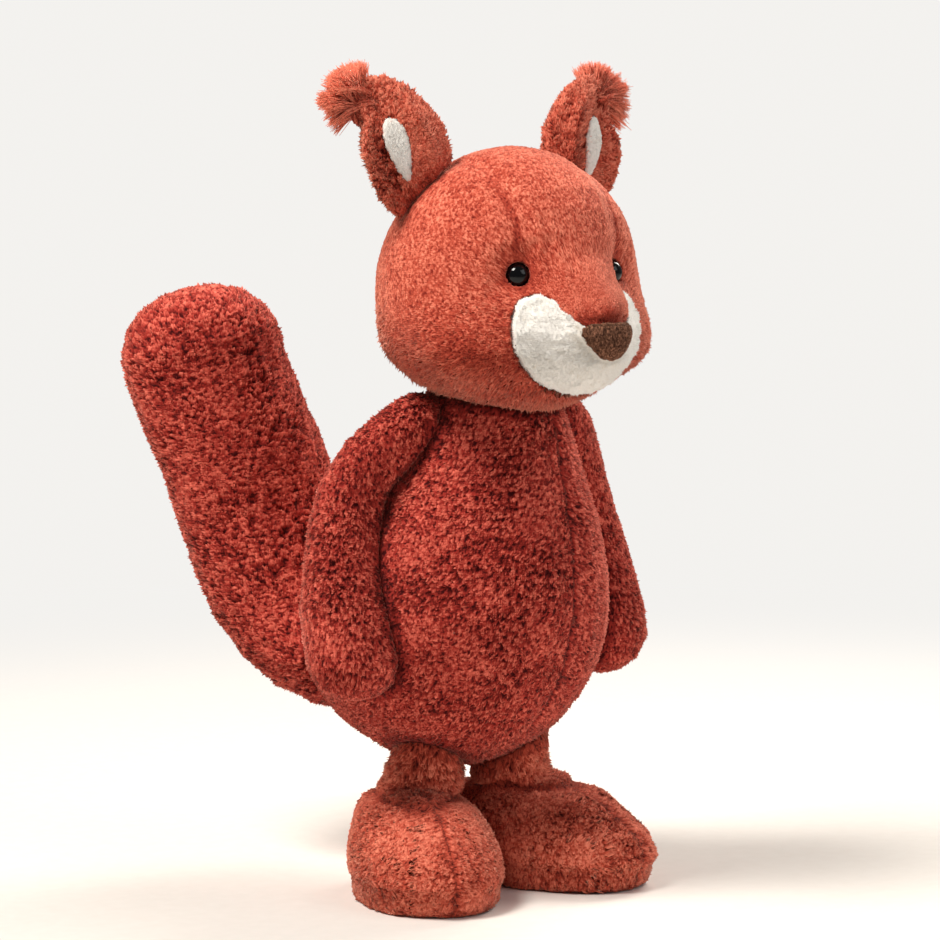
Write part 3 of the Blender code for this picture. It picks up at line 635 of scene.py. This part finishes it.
def jaw_length_and_shade(points):
    """The head's pile is shortest on the bridge, longer on the mound and longest towards the jaw; from this
    it is also painted, with a painted highlight on the bridge and painted shade low towards the jaw.
    """
    jaw = 0.8 + 2.9 * eased((EYE_LEVEL - 4 * MM - points[:, 2]) / (32 * MM))
    bridge = eased(1.0 - np.abs(points[:, 0] - AXIS_X) / (16 * MM))
    bridge *= eased((HEAD_MIDDLE.y - points[:, 1]) / (12 * MM))
    bridge *= line_share(points[:, 2] - EYE_LEVEL + 1 * MM, 15 * MM)
    return jaw - 1.8 * bridge + 1.1 * nose_mound(points)


def shank_length_and_shade(points):
    """The pile is left long and nodular on the shanks, and so painted darker there: painted shade."""
    return 0.9 + 0.6 * eased((points[:, 2] - ANKLE_CREASE) / (6 * MM))


def leg_lumps(points):
    """The shanks are creased across, and the cloth is folded at the ankles."""
    creases = 0.5 * MM * smooth_noise(points * (0.35, 0.35, 1.0), 4.5 * MM)
    shank = eased((points[:, 2] - ANKLE_HEIGHT + 6 * MM) / (6 * MM))
    fold = 0.9 * MM * ankle_line(points + (0.0, 0.0, 5 * MM), 5 * MM)
    crease = 1.1 * MM * ankle_line(points, 3 * MM)
    return stuffing_lumps(points) + creases * shank + fold - crease


def beside_seam(points):
    """How far each point is aside of the torso's seams; the torso sits turned on its legs."""
    return (points[:, 0] - AXIS_X) * math.cos(TORSO_TURN) + (points[:, 1] - BODY_Y) * math.sin(TORSO_TURN)


def falling(points, fan=0.0):
    """Nap that falls straight down, or fans out from the seam: (directions, pattern places)."""
    aside = np.sign(beside_seam(points)) * fan
    ways = unit_rows(np.stack([aside, np.zeros(len(points)), np.full(len(points), -1.0)], axis=1))
    along = np.sum(points * ways, axis=1, keepdims=True)
    return ways, points - ways * along * (1.0 - LOCK_STRETCH)


def spreading(points, heart, size, axis):
    """Nap that spreads from a point, with its pattern drawn out along the way from it.

    The axis is the one that the cloth faces there, so that the pattern's places keep apart.
    """
    away = points - heart
    reach = np.linalg.norm(away, axis=1, keepdims=True)
    ways = away / np.maximum(reach, 0.1 * MM)
    return ways, ways * size + np.array(axis) * reach * LOCK_STRETCH


def torso_grain(points):
    """Nap that runs from the front seam round the belly and down."""
    return falling(points, 1.3)


def head_grain(points):
    """Nap brushed back from the nose, and down behind the ears."""
    ways, places = spreading(points, np.array(NOSE_MIDDLE), 55 * MM, (0.0, 1.0, 0.0))
    behind = eased((points[:, 1] - HEAD_MIDDLE.y) / (30 * MM))[:, None]
    return ways * (1.0 - behind) + np.array((0.0, 0.0, -1.0)) * (behind + 0.15), places


def muzzle_grain(points):
    """Nap that radiates from the nose."""
    return spreading(points, np.array(NOSE_MIDDLE), 22 * MM, (0.0, 1.0, 0.0))


def muzzle_lumps(points):
    """Soft grooves that run out from the nose, in a patch softly dented by its stuffing."""
    _, places = muzzle_grain(points)
    grooves = smooth_noise(places * (1.0, 0.5, 1.0), 1.9 * MM)
    return 0.75 * MM * grooves + 0.5 * MM * smooth_noise(points, 8 * MM)


def foot_grain(points):
    """Nap that falls down the shank, and fans out to the front and the sides of the foot."""
    side, across, _ = foot_places(points)
    on_foot = eased((ANKLE_CREASE + 2 * MM - points[:, 2]) / (6 * MM))
    aside = np.sign(across) * 0.8 * on_foot
    ahead = on_foot * 0.5
    ways = [
        aside * math.cos(FOOT_TURN_OUT) + ahead * side * math.sin(FOOT_TURN_OUT),
        aside * side * math.sin(FOOT_TURN_OUT) - ahead * math.cos(FOOT_TURN_OUT),
        0.65 * on_foot - 1.0,
    ]
    ways = unit_rows(np.stack(ways, axis=1))
    ankle_x = AXIS_X + side * ANKLE_ASIDE
    ankles = np.stack((ankle_x, np.full(len(side), BODY_Y), np.full(len(side), ANKLE_HEIGHT)), axis=1)
    along = np.sum((points - ankles) * ways, axis=1, keepdims=True)
    return ways, points - ways * along * (1.0 - LOCK_STRETCH)


def tail_grain(points):
    """Nap that runs up the tail to its tip, in locks that lie across it."""
    return np.tile((-0.2, 0.25, 1.0), (len(points), 1)), points * (0.6, 0.6, 1.0)


def ear_grain(points):
    """Nap that spreads from the middle of the ear's cup."""
    side = np.sign(points[0, 0] - AXIS_X)
    low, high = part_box("ear_left" if side > 0 else "ear_right")
    heart = np.array((low + high) / 2) - (side * 4 * MM, 0.0, 8 * MM)
    return spreading(points, heart, 22 * MM, (0.0, 1.0, 0.0))


def line_share(distance, width):
    """1 on a line and 0 beyond its half width."""
    return eased(1.0 - np.abs(distance) / width)


def head_seams(points):
    """The two seams of the crown's gusset, from the eyes up over the head, soft under the pile."""
    from_axis = np.abs(points[:, 0] - AXIS_X)
    above = eased((points[:, 2] - EYE_LEVEL - 4 * MM) / (8 * MM))
    behind = eased((points[:, 1] - HEAD_MIDDLE.y) / (8 * MM))
    crown = 1.0 - 0.75 * eased((points[:, 2] - HEAD_HIGH.z + 22 * MM) / (12 * MM))
    broken = 0.75 + 0.6 * smooth_noise(points, 4 * MM)
    line = line_share(from_axis - GUSSET_HALF_WIDTH + 1.5 * MM * smooth_noise(points, 12 * MM), 1.8 * MM)
    return 0.6 * np.clip(line * np.maximum(above, behind) * crown * broken, 0.0, 1.0)


def torso_seams(points):
    """The seams down the front and the back of the torso."""
    broken = 0.8 + 0.5 * smooth_noise(points, 5 * MM)
    return np.clip(line_share(beside_seam(points), 1.6 * MM) * broken, 0.0, 1.0)


def foot_places(points):
    """(side, distance across the foot's seam, distance ahead of the ankle) for each point."""
    side = np.sign(points[:, 0] - AXIS_X)
    aside = points[:, 0] - AXIS_X - side * ANKLE_ASIDE
    ahead = BODY_Y - points[:, 1]
    across = aside * math.cos(FOOT_TURN_OUT) - side * ahead * math.sin(FOOT_TURN_OUT)
    along = ahead * math.cos(FOOT_TURN_OUT) + side * aside * math.sin(FOOT_TURN_OUT)
    return side, across, along


def ankle_line(points, width):
    """1 on the crease where the shank meets the foot, 0 beyond the width."""
    return line_share(points[:, 2] - ANKLE_CREASE + 2 * MM * smooth_noise(points, 12 * MM), width)


def foot_seams(points):
    """The seam down the middle of each foot's front, and the crease round its ankle."""
    _, across, along = foot_places(points)
    front = eased((along - 14 * MM) / (6 * MM)) * (points[:, 2] > 4 * MM)
    seam = line_share(across + 0.8 * MM * smooth_noise(points, 6 * MM), 1.8 * MM) * front
    broken = 0.8 + 0.5 * smooth_noise(points, 4 * MM)
    return np.maximum(seam, 0.9 * ankle_line(points, 2.2 * MM)) * broken


# The plushes of this toy


def dyed_and_shaded_plush(name, root, pile, tip, **nap):
    """The plush of that name in three of the settings' colours: its root of painted shade, its pile and its
    tip.
    """
    dyes_and_shades = bpy.context.scene.squirrel_colours
    return plush(name, *(rgba(getattr(dyes_and_shades, colour)) for colour in (root, pile, tip)), **nap)


def red_plush():
    """Red knitted plush with nodular pile: torso, arms and tail."""
    dyes_and_shades = ("plush_root", "plush_body", "plush_tip")
    return dyed_and_shaded_plush("red_knitted_plush", *dyes_and_shades, sheen=0.8, gaps=0.45, lock=0.95 * MM)


def head_plush():
    """The same cloth, brushed smooth so that its pale tips show more than its roots, and painted lighter
    for the light from above on the head.
    """
    dyes_and_shades = ("lit_plush_root", "brushed_body", "lit_plush_tip")
    nap = {"sheen": 0.9, "gaps": 0.32, "lock": 0.7 * MM, "relief": 0.5, "drawn_out": (1.0, 0.3, 1.0)}
    return dyed_and_shaded_plush("red_brushed_plush", *dyes_and_shades, **nap)


def painted_lighter_loose_plush():
    """The same cloth with its pile left loose, in colours painted lighter for the light that falls on them:
    ears, ear tufts, legs and soles.
    """
    dyes_and_shades = ("plush_root", "brushed_body", "lit_plush_tip")
    return dyed_and_shaded_plush("red_loose_plush", *dyes_and_shades, sheen=0.9, gaps=0.25, lock=0.8 * MM, relief=0.65)


def shaded(colour, shares):
    """A colour property times a share for each channel, as RGBA."""
    return rgba(c * share for c, share in zip(colour, shares))


def cream_plush():
    """Cream knitted plush, pale down to its roots, which are painted a little darker as shade in the
    creases: muzzle and ear linings.
    """
    cream = bpy.context.scene.squirrel_colours.cream
    root, pile = shaded(cream, (0.84, 0.78, 0.7)), shaded(cream, (0.97, 0.965, 0.95))
    nap = {"sheen": 0.15, "gaps": 0.08, "lock": 0.9 * MM, "relief": 0.7, "drawn_out": (1.0, 0.25, 1.0)}
    return plush("cream_knitted_plush", root, pile, rgba(cream), **nap)


def nose_suede():
    """Brown suede cloth with a short, streaked nap."""
    suede = bpy.context.scene.squirrel_colours.suede
    dark, pale = shaded(suede, (0.3, 0.3, 0.3)), shaded(suede, (3.2, 3.2, 3.2))
    return plush("brown_suede_cloth", dark, rgba(suede), pale, sheen=0.3, gaps=0.5, lock=0.6 * MM)


# Operators, one for each piece or group of like pieces


class PLUSH_OT_head(bpy.types.Operator):
    """Grows the brushed pile of the head"""

    bl_idname = "plush.head"
    bl_label = "Head"

    def execute(self, context):
        pile = context.scene.squirrel_pile
        lean = math.radians(50)
        ways = (head_grain, head_seams, head_lumps, jaw_length_and_shade)
        coat = Coat(0.8 * MM, pile.head_relief, pile.head_tuft, lean, 1.4 * MM, *ways)
        others = ["nose", "torso", "arm_left", "arm_right"]
        others += [f"{part}_{side}" for part in ("ear", "eye", "eye_washer") for side in SIDES]
        mesh = grow_pile("head", coat, 11, others)
        show("head_plush", mesh, head_plush(), ["head"])
        return {"FINISHED"}


class PLUSH_OT_torso(bpy.types.Operator):
    """Grows the pile of the torso"""

    bl_idname = "plush.torso"
    bl_label = "Torso"

    def execute(self, context):
        pile = context.scene.squirrel_pile
        lean = math.radians(35)
        ways = (torso_grain, torso_seams)
        coat = Coat(0.98 * MM, pile.body_relief, pile.body_tuft, lean, 1.6 * MM, *ways)
        others = ["head", "arm_left", "arm_right", "leg_left", "leg_right", "tail"]
        mesh = grow_pile("torso", coat, 12, others)
        show("torso_plush", mesh, red_plush(), ["torso"])
        return {"FINISHED"}


class PLUSH_OT_arms(bpy.types.Operator):
    """Grows the pile of both arms"""

    bl_idname = "plush.arms"
    bl_label = "Arms"

    def execute(self, context):
        pile = context.scene.squirrel_pile
        coat = Coat(0.85 * MM, pile.body_relief, pile.body_tuft, math.radians(35), 1.6 * MM, falling)
        for number, side in enumerate(SIDES):
            mesh = grow_pile(f"arm_{side}", coat, 20 + number, ["torso", "head", f"leg_{side}"])
            piece = show(f"arm_{side}_plush", mesh, red_plush(), [f"arm_{side}"])
        return {"FINISHED"}


class PLUSH_OT_legs(bpy.types.Operator):
    """Grows the pile of both legs, and the short nap of their soles"""

    bl_idname = "plush.legs"
    bl_label = "Legs and soles"

    def execute(self, context):
        pile = context.scene.squirrel_pile
        lean = math.radians(35)
        ways = (foot_grain, foot_seams, leg_lumps, shank_length_and_shade)
        coat = Coat(0.9 * MM, pile.body_relief, pile.body_tuft, lean, 1.6 * MM, *ways)
        nap = Coat(0.9 * MM, 0.3 * MM, 0.4 * MM, lean, 2.0 * MM, foot_grain)
        for number, side in enumerate(SIDES):
            other = SIDES[1 - number]
            near = ["torso", f"leg_{other}", f"pellet_bag_{side}"]
            mesh = grow_pile(f"leg_{side}", coat, 30 + number, near, skirt=True)
            piece = show(f"leg_{side}_plush", mesh, painted_lighter_loose_plush(), [f"leg_{side}"])
            mesh = grow_pile(f"sole_{side}", nap, 40 + number, [f"leg_{side}", f"pellet_bag_{side}"])
            show(f"sole_{side}_plush", mesh, painted_lighter_loose_plush(), [f"sole_{side}"])
        return {"FINISHED"}


class PLUSH_OT_tail(bpy.types.Operator):
    """Grows the shaggy pile of the tail"""

    bl_idname = "plush.tail"
    bl_label = "Tail"

    def execute(self, context):
        pile = context.scene.squirrel_pile
        coat = Coat(0.9 * MM, pile.tail_relief, pile.tail_tuft, math.radians(35), 2.4 * MM, tail_grain)
        mesh = grow_pile("tail", coat, 13, ["torso"])
        show("tail_plush", mesh, red_plush(), ["tail"])
        return {"FINISHED"}


class PLUSH_OT_ears(bpy.types.Operator):
    """Grows the pile of both ears and the cream nap of their linings"""

    bl_idname = "plush.ears"
    bl_label = "Ears and linings"

    def execute(self, context):
        pile = context.scene.squirrel_pile
        coat = Coat(0.8 * MM, pile.ear_relief, pile.ear_tuft, math.radians(40), 2.2 * MM, ear_grain)
        nap = Coat(0.6 * MM, 0.2 * MM, 0.4 * MM, math.radians(30), 1.6 * MM, ear_grain)
        for number, side in enumerate(SIDES):
            mesh = grow_pile(f"ear_{side}", coat, 50 + number, ["head"], softness=0.6)
            piece = show(f"ear_{side}_plush", mesh, painted_lighter_loose_plush(), [f"ear_{side}"])
            mesh = grow_pile(f"ear_lining_{side}", nap, 60 + number, [])
            show(f"ear_lining_{side}_plush", mesh, cream_plush(), [f"ear_lining_{side}"])
        return {"FINISHED"}


STRAND_SIDES = 3
STRANDS_IN_BUNCH = 24
STRAND_RINGS = 2
STRAND_REACH = 16 * MM


def add_strand(form, tips, shades, places, start, end, bend, radius, shade):
    """One closed tapered strand from start to end, bent aside in its middle."""
    before = len(form.verts)
    cone = bmesh.ops.create_cone(
        form, cap_ends=True, segments=STRAND_SIDES, radius1=1.0, radius2=0.45, depth=1.0
    )
    edges = {e for v in cone["verts"] for e in v.link_edges}
    sides = [e for e in edges if abs(e.verts[0].co.z - e.verts[1].co.z) > 0.5]
    bmesh.ops.subdivide_edges(form, edges=sides, cuts=STRAND_RINGS)
    form.verts.ensure_lookup_table()
    along = (end - start).normalized()
    across = along.orthogonal().normalized()
    over = along.cross(across)
    for v in form.verts[before:]:
        share = v.co.z + 0.5
        body = radius * (1.0 + 0.35 * math.sin(math.pi * share))
        place = start.lerp(end, share) + bend * math.sin(math.pi * share)
        # Painted shade towards the strand's root, paler towards its tip
        v[tips] = 0.3 + 0.9 * share
        v[shades] = shade
        v[places] = start + (end - start) * (share * LOCK_STRETCH)
        v.co = place + (across * v.co.x + over * v.co.y) * body


def tuft_mesh(side, strands, radius, seed):
    """A fan of strands from the ear's tip through the places that the CAD tuft's locks reach."""
    chance = np.random.default_rng(seed)
    locks = points_of(NODES[f"ear_tuft_{side}"].data)
    ear = (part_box(f"ear_{side}")[0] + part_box(f"ear_{side}")[1]) / 2
    nearest = locks[np.argsort(np.linalg.norm(locks - np.array(ear), axis=1))[: len(locks) // 5]]
    root = Vector(nearest.mean(axis=0))
    far = locks[np.linalg.norm(locks - np.array(root), axis=1) > 9 * MM]
    outward = (Vector(far.mean(axis=0)) - root).normalized()
    form = bmesh.new()
    mesh = bpy.data.meshes.new(f"ear_tuft_{side}_strands")
    for _ in range(max(1, strands // STRANDS_IN_BUNCH)):
        target = Vector(far[chance.integers(len(far))]) + Vector(chance.normal(0.0, 1.3 * MM, 3))
        way = ((target - root).normalized() + outward * 0.3).normalized()
        bunch = root + Vector(chance.normal(0.0, 2.2 * MM, 3)) - way * 2 * MM
        reach = STRAND_REACH * chance.uniform(0.94, 1.02)
        droop = Vector((0.0, 0.0, chance.uniform(0.6, 2.2) * MM))
        shade = chance.uniform()
        group = bmesh.new()
        tips = group.verts.layers.float.new("tip")
        shades = group.verts.layers.float.new("tone")
        places = group.verts.layers.float_vector.new("nap")
        for _ in range(STRANDS_IN_BUNCH):
            start = bunch + Vector(chance.normal(0.0, 0.5 * MM, 3))
            end = root + way * reach * chance.uniform(0.9, 1.01) + Vector(chance.normal(0.0, 0.75 * MM, 3))
            bend = droop + Vector(chance.normal(0.0, 0.3 * MM, 3))
            thick = radius * chance.uniform(0.8, 1.2)
            add_strand(group, tips, shades, places, start, end, bend, thick, shade)
        bmesh.ops.recalc_face_normals(group, faces=group.faces[:])
        group.to_mesh(mesh)
        group.free()
        form.from_mesh(mesh)
    form.to_mesh(mesh)
    form.free()
    mesh.shade_smooth()
    return mesh


class PLUSH_OT_tufts(bpy.types.Operator):
    """Grows the long strands at the ears' tips"""

    bl_idname = "plush.tufts"
    bl_label = "Ear tufts"

    def execute(self, context):
        pile = context.scene.squirrel_pile
        for number, side in enumerate(SIDES):
            mesh = tuft_mesh(side, pile.tuft_strands, pile.strand_radius, 70 + number)
            show(f"ear_tuft_{side}_strands", mesh, painted_lighter_loose_plush(), [f"ear_tuft_{side}"])
        return {"FINISHED"}


class PLUSH_OT_face(bpy.types.Operator):
    """Grows the muzzle's cream pile and the nose's suede, and polishes the beads"""

    bl_idname = "plush.face"
    bl_label = "Muzzle, nose and eyes"

    def execute(self, context):
        pile = context.scene.squirrel_pile
        lean = math.radians(30)
        ways = (muzzle_grain, None, muzzle_lumps)
        coat = Coat(0.65 * MM, pile.muzzle_relief, pile.muzzle_tuft, lean, 1.8 * MM, *ways)
        mesh = grow_pile("muzzle", coat, 80, ["nose"], softness=0.4)
        show("muzzle_plush", mesh, cream_plush(), ["muzzle"])
        nap = Coat(0.55 * MM, 0.1 * MM, pile.suede_nap, lean, 1.4 * MM, falling)
        mesh = grow_pile("nose", nap, 81, [])
        show("nose_suede", mesh, nose_suede(), ["nose"])
        lacquer = bead_lacquer()
        for side in SIDES:
            mesh = merged_copy(f"eye_{side}")
            mesh.shade_smooth()
            piece = show(f"eye_{side}_bead", mesh, lacquer, [f"eye_{side}"])
            rounding = piece.modifiers.new("rounding", "SUBSURF")
            rounding.levels = rounding.render_levels = 2
        return {"FINISHED"}


class PLUSH_OT_hidden(bpy.types.Operator):
    """Finishes the washers behind the eyes and the pellet bags in the feet"""

    bl_idname = "plush.hidden"
    bl_label = "Washers and pellet bags"

    def execute(self, context):
        for kind, material in (("eye_washer", nylon()), ("pellet_bag", pellet_cloth())):
            for side in SIDES:
                slots = NODES[f"{kind}_{side}"].data.materials
                slots.clear()
                slots.append(material)
        return {"FINISHED"}


# The stage

BACKDROP = (0.90, 0.885, 0.86, 1.0)
WORLD_STRENGTH = 0.17
FLOOR_REACH = 4.0
FADE_FROM, FADE_TO = 0.12, 0.85
LAMPS_AIM_AT = 0.16

# Each lamp's place from the squirrel, in metres to the camera's right, toward it and up; its size; its tint
LAMPS = {
    "key": ((-0.7, 0.45, 1.5), 0.55, (1.0, 0.95, 0.88)),
    "fill": ((1.0, 0.6, 0.95), 0.8, (1.0, 1.0, 1.0)),
    "rim": ((0.55, -0.8, 0.95), 0.6, (1.0, 0.93, 0.85)),
}


def aimed(name, data, place, aim):
    """A lamp or camera in its place, turned to face its aim."""
    thing = bpy.data.objects.new(name, data)
    bpy.context.scene.collection.objects.link(thing)
    thing.location = place
    thing.rotation_euler = (aim - place).to_track_quat("-Z", "Y").to_euler()
    return thing


def add_lamp(name, watts, size, tint, place, aim):
    """A square soft lamp that faces its aim."""
    light = bpy.data.lights.new(name, "AREA")
    light.energy = watts
    light.size = size
    light.color = tint
    aimed(name, light, place, aim)


class PLUSH_OT_stage(bpy.types.Operator):
    """Sets the floor, the backdrop light, the lamps and the camera"""

    bl_idname = "plush.stage"
    bl_label = "Stage"

    def execute(self, context):
        settings = context.scene.squirrel_stage
        scene = context.scene
        scene.view_settings.view_transform = "Standard"
        stand = Vector((AXIS_X, BODY_Y, 0.0))
        back = Vector((math.sin(settings.turn), -math.cos(settings.turn), 0.0))
        right = Vector((math.cos(settings.turn), math.sin(settings.turn), 0.0))
        lens = bpy.data.cameras.new("camera")
        lens.lens = settings.lens
        lens.sensor_width = 36.0
        lens.clip_start = 0.05
        place = stand + back * settings.distance + Vector((0, 0, settings.height))
        aim = stand + right * settings.aim_aside + Vector((0, 0, settings.aim_height))
        scene.camera = aimed("camera", lens, place, aim)
        middle = stand + Vector((0, 0, LAMPS_AIM_AT))
        for name, ((aside, ahead, up), size, tint) in LAMPS.items():
            place = stand + right * aside + back * ahead + Vector((0, 0, up))
            add_lamp(name, getattr(settings, f"{name}_power"), size, tint, place, middle)
        self.make_world(scene)
        self.make_floor(stand)
        return {"FINISHED"}

    def make_world(self, scene):
        """A soft even world that looks white to the camera."""
        world = bpy.data.worlds.new("studio")
        world.use_nodes = True
        scene.world = world
        tree = world.node_tree
        tree.nodes.clear()
        seen = add_node(tree, "ShaderNodeLightPath")
        rays = {0: seen.outputs["Is Camera Ray"], 1: seen.outputs["Is Transmission Ray"]}
        either = add_node(tree, "ShaderNodeMath", rays, operation="MAXIMUM")
        warm = {"Color": (1.0, 0.97, 0.94, 1.0), "Strength": WORLD_STRENGTH}
        soft = add_node(tree, "ShaderNodeBackground", warm)
        white = add_node(tree, "ShaderNodeBackground", {"Color": BACKDROP, "Strength": 1.0})
        shares = {0: either.outputs[0], 1: soft.outputs[0], 2: white.outputs[0]}
        mix = add_node(tree, "ShaderNodeMixShader", shares)
        add_node(tree, "ShaderNodeOutputWorld", {"Surface": mix.outputs[0]})

    def make_floor(self, stand):
        """A wide flat floor of pale paper."""
        form = bmesh.new()
        bmesh.ops.create_grid(form, x_segments=2, y_segments=2, size=FLOOR_REACH)
        bmesh.ops.translate(form, verts=form.verts, vec=stand)
        mesh = bpy.data.meshes.new("floor")
        form.to_mesh(mesh)
        form.free()
        floor = bpy.data.objects.new("floor", mesh)
        bpy.context.scene.collection.objects.link(floor)
        mesh.materials.append(self.paper(stand))

    def paper(self, stand):
        """Pale paper that the camera sees fade into the white world away from the squirrel."""
        material, tree = new_material("pale_studio_paper")
        place = add_node(tree, "ShaderNodeTexCoord").outputs["Object"]
        pulp = add_node(tree, "ShaderNodeTexNoise", {"Vector": place, "Scale": 1 / (6 * MM), "Detail": 4.0})
        tint = add_node(tree, "ShaderNodeValToRGB", {"Fac": pulp.outputs["Fac"]})
        tint.color_ramp.elements[0].color = linear("#e4e0da")
        tint.color_ramp.elements[1].color = linear("#ebe8e3")
        looks = {"Base Color": tint.outputs["Color"], "Roughness": 0.9}
        shader = add_node(tree, "ShaderNodeBsdfPrincipled", looks)
        ends = {0: place, 1: tuple(stand)}
        away = add_node(tree, "ShaderNodeVectorMath", ends, operation="DISTANCE")
        share = add_node(
            tree,
            "ShaderNodeMapRange",
            {"Value": away.outputs["Value"], "From Min": FADE_FROM, "From Max": FADE_TO},
            interpolation_type="SMOOTHERSTEP",
        )
        seen = add_node(tree, "ShaderNodeLightPath")
        factors = {0: share.outputs["Result"], 1: seen.outputs["Is Camera Ray"]}
        amount = add_node(tree, "ShaderNodeMath", factors, operation="MULTIPLY")
        white = add_node(tree, "ShaderNodeEmission", {"Color": BACKDROP, "Strength": 1.0})
        shares = {0: amount.outputs[0], 1: shader.outputs["BSDF"], 2: white.outputs[0]}
        mix = add_node(tree, "ShaderNodeMixShader", shares)
        add_node(tree, "ShaderNodeOutputMaterial", {"Surface": mix.outputs[0]})
        return material


class PLUSH_PT_panel(bpy.types.Panel):
    """Lists the settings and the operators"""

    bl_label = "Plush squirrel"
    bl_idname = "PLUSH_PT_panel"
    bl_space_type = "VIEW_3D"
    bl_region_type = "UI"
    bl_category = "Plush"

    def draw(self, context):
        scene = context.scene
        for group in (scene.squirrel_pile, scene.squirrel_colours, scene.squirrel_stage):
            box = self.layout.box()
            for name in group.__annotations__:
                box.prop(group, name)
        for maker in MAKERS:
            self.layout.operator(maker.bl_idname)


SETTINGS = {
    "squirrel_pile": PileSettings,
    "squirrel_colours": ColourSettings,
    "squirrel_stage": StageSettings,
}
MAKERS = (
    PLUSH_OT_head,
    PLUSH_OT_torso,
    PLUSH_OT_arms,
    PLUSH_OT_legs,
    PLUSH_OT_tail,
    PLUSH_OT_ears,
    PLUSH_OT_tufts,
    PLUSH_OT_face,
    PLUSH_OT_hidden,
    PLUSH_OT_stage,
)


def register():
    for group in SETTINGS.values():
        bpy.utils.register_class(group)
    for name, group in SETTINGS.items():
        setattr(bpy.types.Scene, name, PointerProperty(type=group))
    for maker in (*MAKERS, PLUSH_PT_panel):
        bpy.utils.register_class(maker)


def unregister():
    for maker in (PLUSH_PT_panel, *reversed(MAKERS)):
        bpy.utils.unregister_class(maker)
    for name in SETTINGS:
        delattr(bpy.types.Scene, name)
    for group in SETTINGS.values():
        bpy.utils.unregister_class(group)


def main():
    """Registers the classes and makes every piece."""
    register()
    bpy.ops.plush.head()
    bpy.ops.plush.torso()
    bpy.ops.plush.arms()
    bpy.ops.plush.legs()
    bpy.ops.plush.tail()
    bpy.ops.plush.ears()
    bpy.ops.plush.tufts()
    bpy.ops.plush.face()
    bpy.ops.plush.hidden()
    bpy.ops.plush.stage()
    bpy.context.view_layer.update()


if __name__ == "__main__":
    main()
